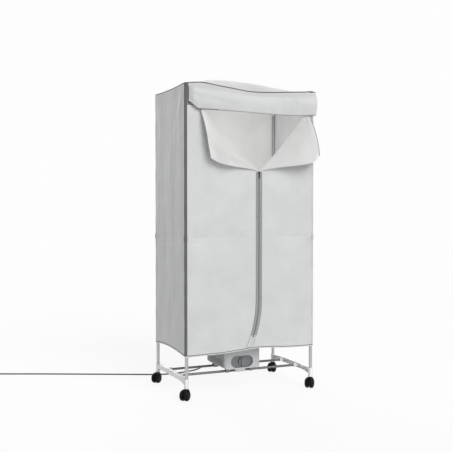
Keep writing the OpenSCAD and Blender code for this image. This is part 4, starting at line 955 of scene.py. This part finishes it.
class CABINET_OT_front_panels(bpy.types.Operator):
    """Makes the two front panels with their folded-out upper corners"""

    bl_idname = "cabinet.front_panels"
    bl_label = "Front panels"

    def execute(self, context):
        for side, word in ((-1, "left"), (1, "right")):
            low, up, flap = front_panel_grid(side)
            outer_x = side * (LEG_X - SEAT)
            inward = pi if side > 0 else 0
            heading = radians(-90 + side * 34)
            for part in (low, up):
                x, z = part[..., 0], part[..., 2]
                from_edge = np.abs(outer_x - x)
                from_zip = np.abs(zip_at(z) + side * ZIP_HALF - x)
                calm = ease((SLIDER_Z + 0.02 - z) / 0.12)
                # 0 along the sewn edges; calm is 1 below the slider and 0 where the fold pulls it flat
                fade = ease(from_edge / 0.05) * ease((from_zip - 0.02) / 0.05)
                fade = fade * ease((z - HEM_H) / 0.06)
                out = slack(from_edge / 0.4, z) * ease((from_zip - 0.05) / 0.06) * calm
                ripple = looks().ripple * (0.3 + 0.7 * calm)
                out += fade * ripple * waves(x, z * 0.4, 17 + side, 0.06, 0.25)
                out += 0.002 * fade * calm * drag(x, z, (ZIP_X, SLIDER_Z), heading, 0.03, 0.42)
                out -= joint_folds(x, z, outer_x, inward, 0.009, PANEL_FOLDS)
                part[..., 1] -= out + knuckle(from_edge, z)
            # soft buckles across the hanging corner
            s = np.linspace(0, 1, flap.shape[0])[:, None]
            t = np.clip((np.arange(flap.shape[1])[None] - BEND_COLS) / FLAP_COLS, 0, 1)
            buckle = waves(t * 0.3, s * 0.3, 23 + side, 0.09, 0.3, 8)
            flap[..., 1] -= 0.0035 * s * ease(t / 0.3) * buckle
            grid_up = np.concatenate([up, flap], 1)
            closed = np.repeat(low[:, -1:], flap.shape[1], axis=1)
            outer = np.concatenate([np.concatenate([low, closed], 1), grid_up])
            normal = np.zeros_like(outer)
            split, cols = low.shape[:2]
            normal[:, :cols] = face_normals(np.concatenate([low, up]))
            normal[split:, cols - 1 :] = face_normals(grid_up)[:, cols - 1 :]
            normal[:split, cols:] = normal[:split, cols - 1 : cols]
            if normal[split // 2, PANEL_COLS // 2, 1] > 0:
                normal = -normal
            inner = outer - CLOTH * 0.8 * normal
            gap = np.linalg.norm(np.diff(outer, axis=1), axis=-1)
            run = np.concatenate([np.zeros((len(outer), 1)), np.cumsum(gap, axis=1)], 1)
            shell = sheet_shell(outer, inner, joined(run, outer[:, :1, 2]), side > 0, (0, 1))
            # the upper edge is bound with dark tape, on both faces
            quads = (outer.shape[0] - 1) * (outer.shape[1] - 1)
            for last in (quads, 2 * quads):
                shell[3][last - outer.shape[1] + 1 : last] = 2
            width, height = abs(side * LEG_X - ZIP_X), PANEL_TOP - HEM_H
            cover_sheet(
                f"front_{word}",
                f"front_panel_{word}",
                shell,
                ["zip_tape_pair", "zip_teeth"] if side < 0 else (),
                [edge_finish()],
                weld=2e-5,
                flat=(width + 0.03, height),
                held="folded",
                rests_on=TOP_BRACKETS,
                area=width * height,
            )
        return {"FINISHED"}


class CABINET_OT_valance(bpy.types.Operator):
    """Makes the gathered band over the top of the opening"""

    bl_idname = "cabinet.valance"
    bl_label = "Valance"

    def execute(self, context):
        # rows hang from the piping, stand out over the panels and are gathered along the top
        cols, rows = 221, 61
        u = np.linspace(0, 1, cols)[None]
        v = np.linspace(1, 0, rows)[:, None]
        x0, x1 = -LEG_X + SEAT, LEG_X + 0.013
        x = lerp(x0, x1, u)
        top = under_piping(x, -LEG_Y)
        low = PANEL_TOP - 0.024 - 0.008 * ease((u - 0.18) / 0.6) + 0.006 * ease((u - 0.8) / 0.2)
        low = low + 0.038 * (1 - ease(11 * u + 0.1))
        z = lerp(top, low, v)
        gather = waves(x, z * 0.5, 31, 0.05, 0.2, 12)
        # it bulges most at two fifths of its height and curves back in to the edge on the panels
        puff = 0.012 * ease(v / 0.25) + 0.013 * np.sin(pi * v) + 0.002 * ease((u - 0.9) / 0.05)
        puff += 0.009 * np.sin(pi * np.minimum(1, v * 1.05)) * bell(u - 0.16, 0.14)
        # a slack fold sinks between the pouch on the left and the stitched edge
        puff -= 0.004 * bell(v - 0.62 - 0.5 * (u - 0.2), 0.13) * (1 - ease((u - 0.2) / 0.3))
        puff += looks().gather * (0.35 + 0.65 * v) * ease(v * 4) * gather * 0.4
        puff += 0.004 * ease(v * 3) * drag(x, z, (0.20, 1.43), radians(-35), 0.012, 0.12)
        puff += 0.0015 * bell(v - 0.93, 0.04) * ease(v * 2)
        # the right end stands off the corner from the top down
        puff = np.maximum(puff, 0.011 * ease((u - 0.93) / 0.06))
        # the left end is tucked in and lies close to the panel
        puff = puff * ease(0.2 + u / 0.05)
        grid = joined(x, FRONT_Y - puff, z)
        shell = sheet_shell(grid, grid + [0, CLOTH, 0], joined(x, z), skins=(0, 1))
        # the left end and the lower edge of the left pouch take the dark tape's colour, dark tape binds
        # the top of the right end, and a paler tape the lower edge
        outer_skin = shell[3][: (rows - 1) * (cols - 1)].reshape(rows - 1, cols - 1)
        outer_skin[0] = 3
        outer_skin[:2, :50] = 2
        outer_skin[:, :2] = 2
        outer_skin[-2:, -10:] = 2
        tapes = [edge_finish(), bpy.data.materials["hem_tape_grey"]]
        flat = (x1 - x0, float((top - low).mean()) + 0.01)
        how = {"flat": flat, "held": "gathered", "rests_on": TOP_BRACKETS}
        cover_sheet("valance_band", "valance", shell, tapes=tapes, **how)
        return {"FINISHED"}


# ---- edge tape and piping


LEGS = np.array(SQUARE) * [LEG_X, LEG_Y]


def rim():
    """Stations round the cover's plan, anticlockwise from the front left, and their outward ways."""
    points, ways = [], []
    for k in range(4):
        a, b = LEGS[k], LEGS[(k + 1) % 4]
        facing = radians(-90 + 90 * k)
        t = np.linspace(0, 1, 61 if k % 2 == 0 else 41)[:-1, None]
        points.append(a + (b - a) * t)
        ways.append(np.tile([math.cos(facing), math.sin(facing)], (len(t), 1)))
        bend = facing + np.linspace(0, pi / 2, 11)[:-1]
        points.append(np.tile(b, (10, 1)))
        ways.append(np.stack([np.cos(bend), np.sin(bend)], -1))
    return np.concatenate(points), np.concatenate(ways)


class CABINET_OT_edges(bpy.types.Operator):
    """Makes the bound corner seams, the piping round the top and the binding of the hem"""

    bl_idname = "cabinet.edges"
    bl_label = "Edge tape and piping"

    def execute(self, context):
        tape = edge_finish()
        points, ways = rim()
        along = np.arange(len(points)) * 0.01
        angle = FULL_TURN * np.arange(12) / 12
        out, up = (PIPING_R * (way(angle) - 1) for way in (np.cos, np.sin))
        round_section = joined(COVER_R + out, up)
        shell = loop_shell(points, ways, round_section, CABINET_H - top_drop(*points.T))
        piece("edge_piping", [shell], [tape], ["top_piping"])

        outer = COVER_R + 0.0006
        inner = outer - 0.0022
        soft = 0.0006
        section = [
            (outer - soft, 0),
            (outer, soft),
            (outer, HEM_BAND - 0.0034),
            (outer, HEM_BAND - soft),
            (outer - soft, HEM_BAND),
            (inner + soft, HEM_BAND),
            (inner, HEM_BAND - soft),
            (inner, soft),
            (inner + soft, 0),
        ]
        wobble = 0.0006 * np.sin(along * 7.3) * np.sin(along * 2.1)
        # the seam that holds the hem is darker than the band under it, whose pale grey is partly
        # painted light, for cloth lit through from behind by the floor
        shell = loop_shell(points, ways, section, hem_z(*points.T) + wobble)
        shell[3].reshape(-1, len(section))[:, 2:4] = 1
        finishes = [woven_tape("hem_band_pale", "#c9caca"), woven_tape("hem_tape_grey", "#616264")]
        piece("hem_tape", [shell], finishes, ["hem_binding"])

        shells = []
        rows, cols = 300, 12
        for k, (leg_x, leg_y) in enumerate(LEGS):
            low, high = float(over_hem(leg_x, leg_y)), float(under_piping(leg_x, leg_y))
            z = np.linspace(low, high, rows + 1)[:, None]
            bend = np.linspace(0, pi / 2, cols + 1)[None]
            turn = radians(180 + 90 * k) + bend
            bulge = 0.0026 * bell(z - JOINT_Z, 0.013)
            pull = 0.0004 * np.sin(z * 41 + k) * np.sin(z * 13)
            thick = 0.0016 + 0.0004 * np.cos(4 * (bend - pi / 4))
            outer = COVER_R + 0.0004 + bulge + pull
            skins = [
                joined(leg_x + reach * np.cos(turn), leg_y + reach * np.sin(turn), z)
                for reach in (outer, outer - thick)
            ]
            shell = sheet_shell(*skins, joined(COVER_R * bend, z))
            if k == 1:
                # on the front right corner the front panel's cloth laps over a third of the tape
                shell[3][: rows * cols] = np.tile(np.arange(cols) < 5, rows)
            shells.append(shell)
        seam_finishes = [tape, cover_finishes()[0]]
        piece("corner_tape", shells, seam_finishes, ["corner_bindings"])
        return {"FINISHED"}


# ---- zip


class CABINET_OT_zip(bpy.types.Operator):
    """Makes the two zip tapes with their teeth and the stop, and finishes the slider"""

    bl_idname = "cabinet.zip"
    bl_label = "Zip"

    def execute(self, context):
        tape_low, tape_high = ZIP_FOOT_Z, SLIDER_Z - 0.002
        z = np.linspace(tape_low, tape_high, 260)[:, None]
        front = FRONT_Y - SEAT
        # cross-section: flat tape, a low welt at its outer edge and a rise under the teeth
        w = [TAPE_W, TAPE_W - 0.0008, TAPE_W - 0.002, 0.008, TEETH_W, TEETH_W - 0.0005, 0.0]
        lift = [0.0006, 0.0011, 0.0008, 0.0007, 0.0008, 0.0012, 0.0012]
        w, lift = np.array([w]), np.array([lift])
        shells, places = [], []
        for side in (-1, 1):
            x = zip_at(z) + side * (ZIP_HALF + w)
            outer, inner = joined(x, front - lift, z), joined(x, front, z)
            shell = sheet_shell(outer, inner, joined(w, z), side > 0)
            # the outer edge is painted darker, as painted shade along the tape's edge, and below the
            # stop cloth covers the rest of the tape
            strip = np.where(z[:-1] < ZIP_STOP_Z, 2, 0) + np.zeros((1, 6), int)
            strip[:, :2] = 1
            shell[3][: strip.size] = strip.ravel()
            shells.append(shell)
            # the two rows of teeth stand half a step apart
            tooth_z = np.arange(ZIP_STOP_Z + (side > 0) * TOOTH_STEP / 2, tape_high, TOOTH_STEP)
            tooth_x = zip_at(tooth_z) + side * (ZIP_HALF + TEETH_W / 2) - TOOTH[0] / 2
            places.append(joined(tooth_x, front - 0.0022, tooth_z - 0.0006))
        # the second, darker grey is painted shade along the tapes' outer edges
        grey, dark = ("zip_tape_grey", "#8f9091"), ("zip_seam_dark", "#6a6b6c")
        finishes = [*(woven_tape(*look, 0.0012) for look in (grey, dark)), cover_finishes()[0]]
        piece("zip_tape_pair", shells, finishes, ["zip_tapes"])
        foot = [[zip_at(ZIP_STOP_Z) - STOP[0] / 2, front - 0.0024, ZIP_STOP_Z - STOP[2]]]
        blocks = [block_shell(np.concatenate(places), TOOTH), block_shell(np.array(foot), STOP)]
        # polyoxymethylene teeth, injected on to the tape
        acetal = moulded("acetal_teeth_grey", "#6f7072", 0.35)
        piece("zip_teeth", blocks, [acetal], smooth=False)
        enamel = metal("enamelled_zinc_slider", "#4a4a4d", 0.3)
        dress(["zip_slider", "zip_pull"], enamel)
        return {"FINISHED"}


# ---- panel and registration


class CABINET_PT_tools(bpy.types.Panel):
    """Lists the steps in the 3D view's sidebar"""

    bl_label = "Drying cabinet"
    bl_idname = "CABINET_PT_tools"
    bl_space_type = "VIEW_3D"
    bl_region_type = "UI"
    bl_category = "Cabinet"

    def draw(self, context):
        for name in CabinetLooks.__annotations__:
            self.layout.prop(context.scene.cabinet_looks, name)
        for step in STEPS:
            self.layout.operator(step.bl_idname)


STEPS = (
    CABINET_OT_stage,
    CABINET_OT_lead,
    CABINET_OT_tubes,
    CABINET_OT_castors,
    CABINET_OT_heater,
    CABINET_OT_edges,
    CABINET_OT_zip,
    CABINET_OT_walls,
    CABINET_OT_front_panels,
    CABINET_OT_valance,
)
CLASSES = (CabinetLooks, *STEPS, CABINET_PT_tools)


def register():
    for cls in CLASSES:
        bpy.utils.register_class(cls)
    bpy.types.Scene.cabinet_looks = bpy.props.PointerProperty(type=CabinetLooks)


def unregister():
    del bpy.types.Scene.cabinet_looks
    for cls in reversed(CLASSES):
        bpy.utils.unregister_class(cls)


def main():
    register()
    for step in STEPS:
        group, name = step.bl_idname.split(".")
        getattr(getattr(bpy.ops, group), name)()
    bpy.context.view_layer.update()


if __name__ == "__main__":
    main()
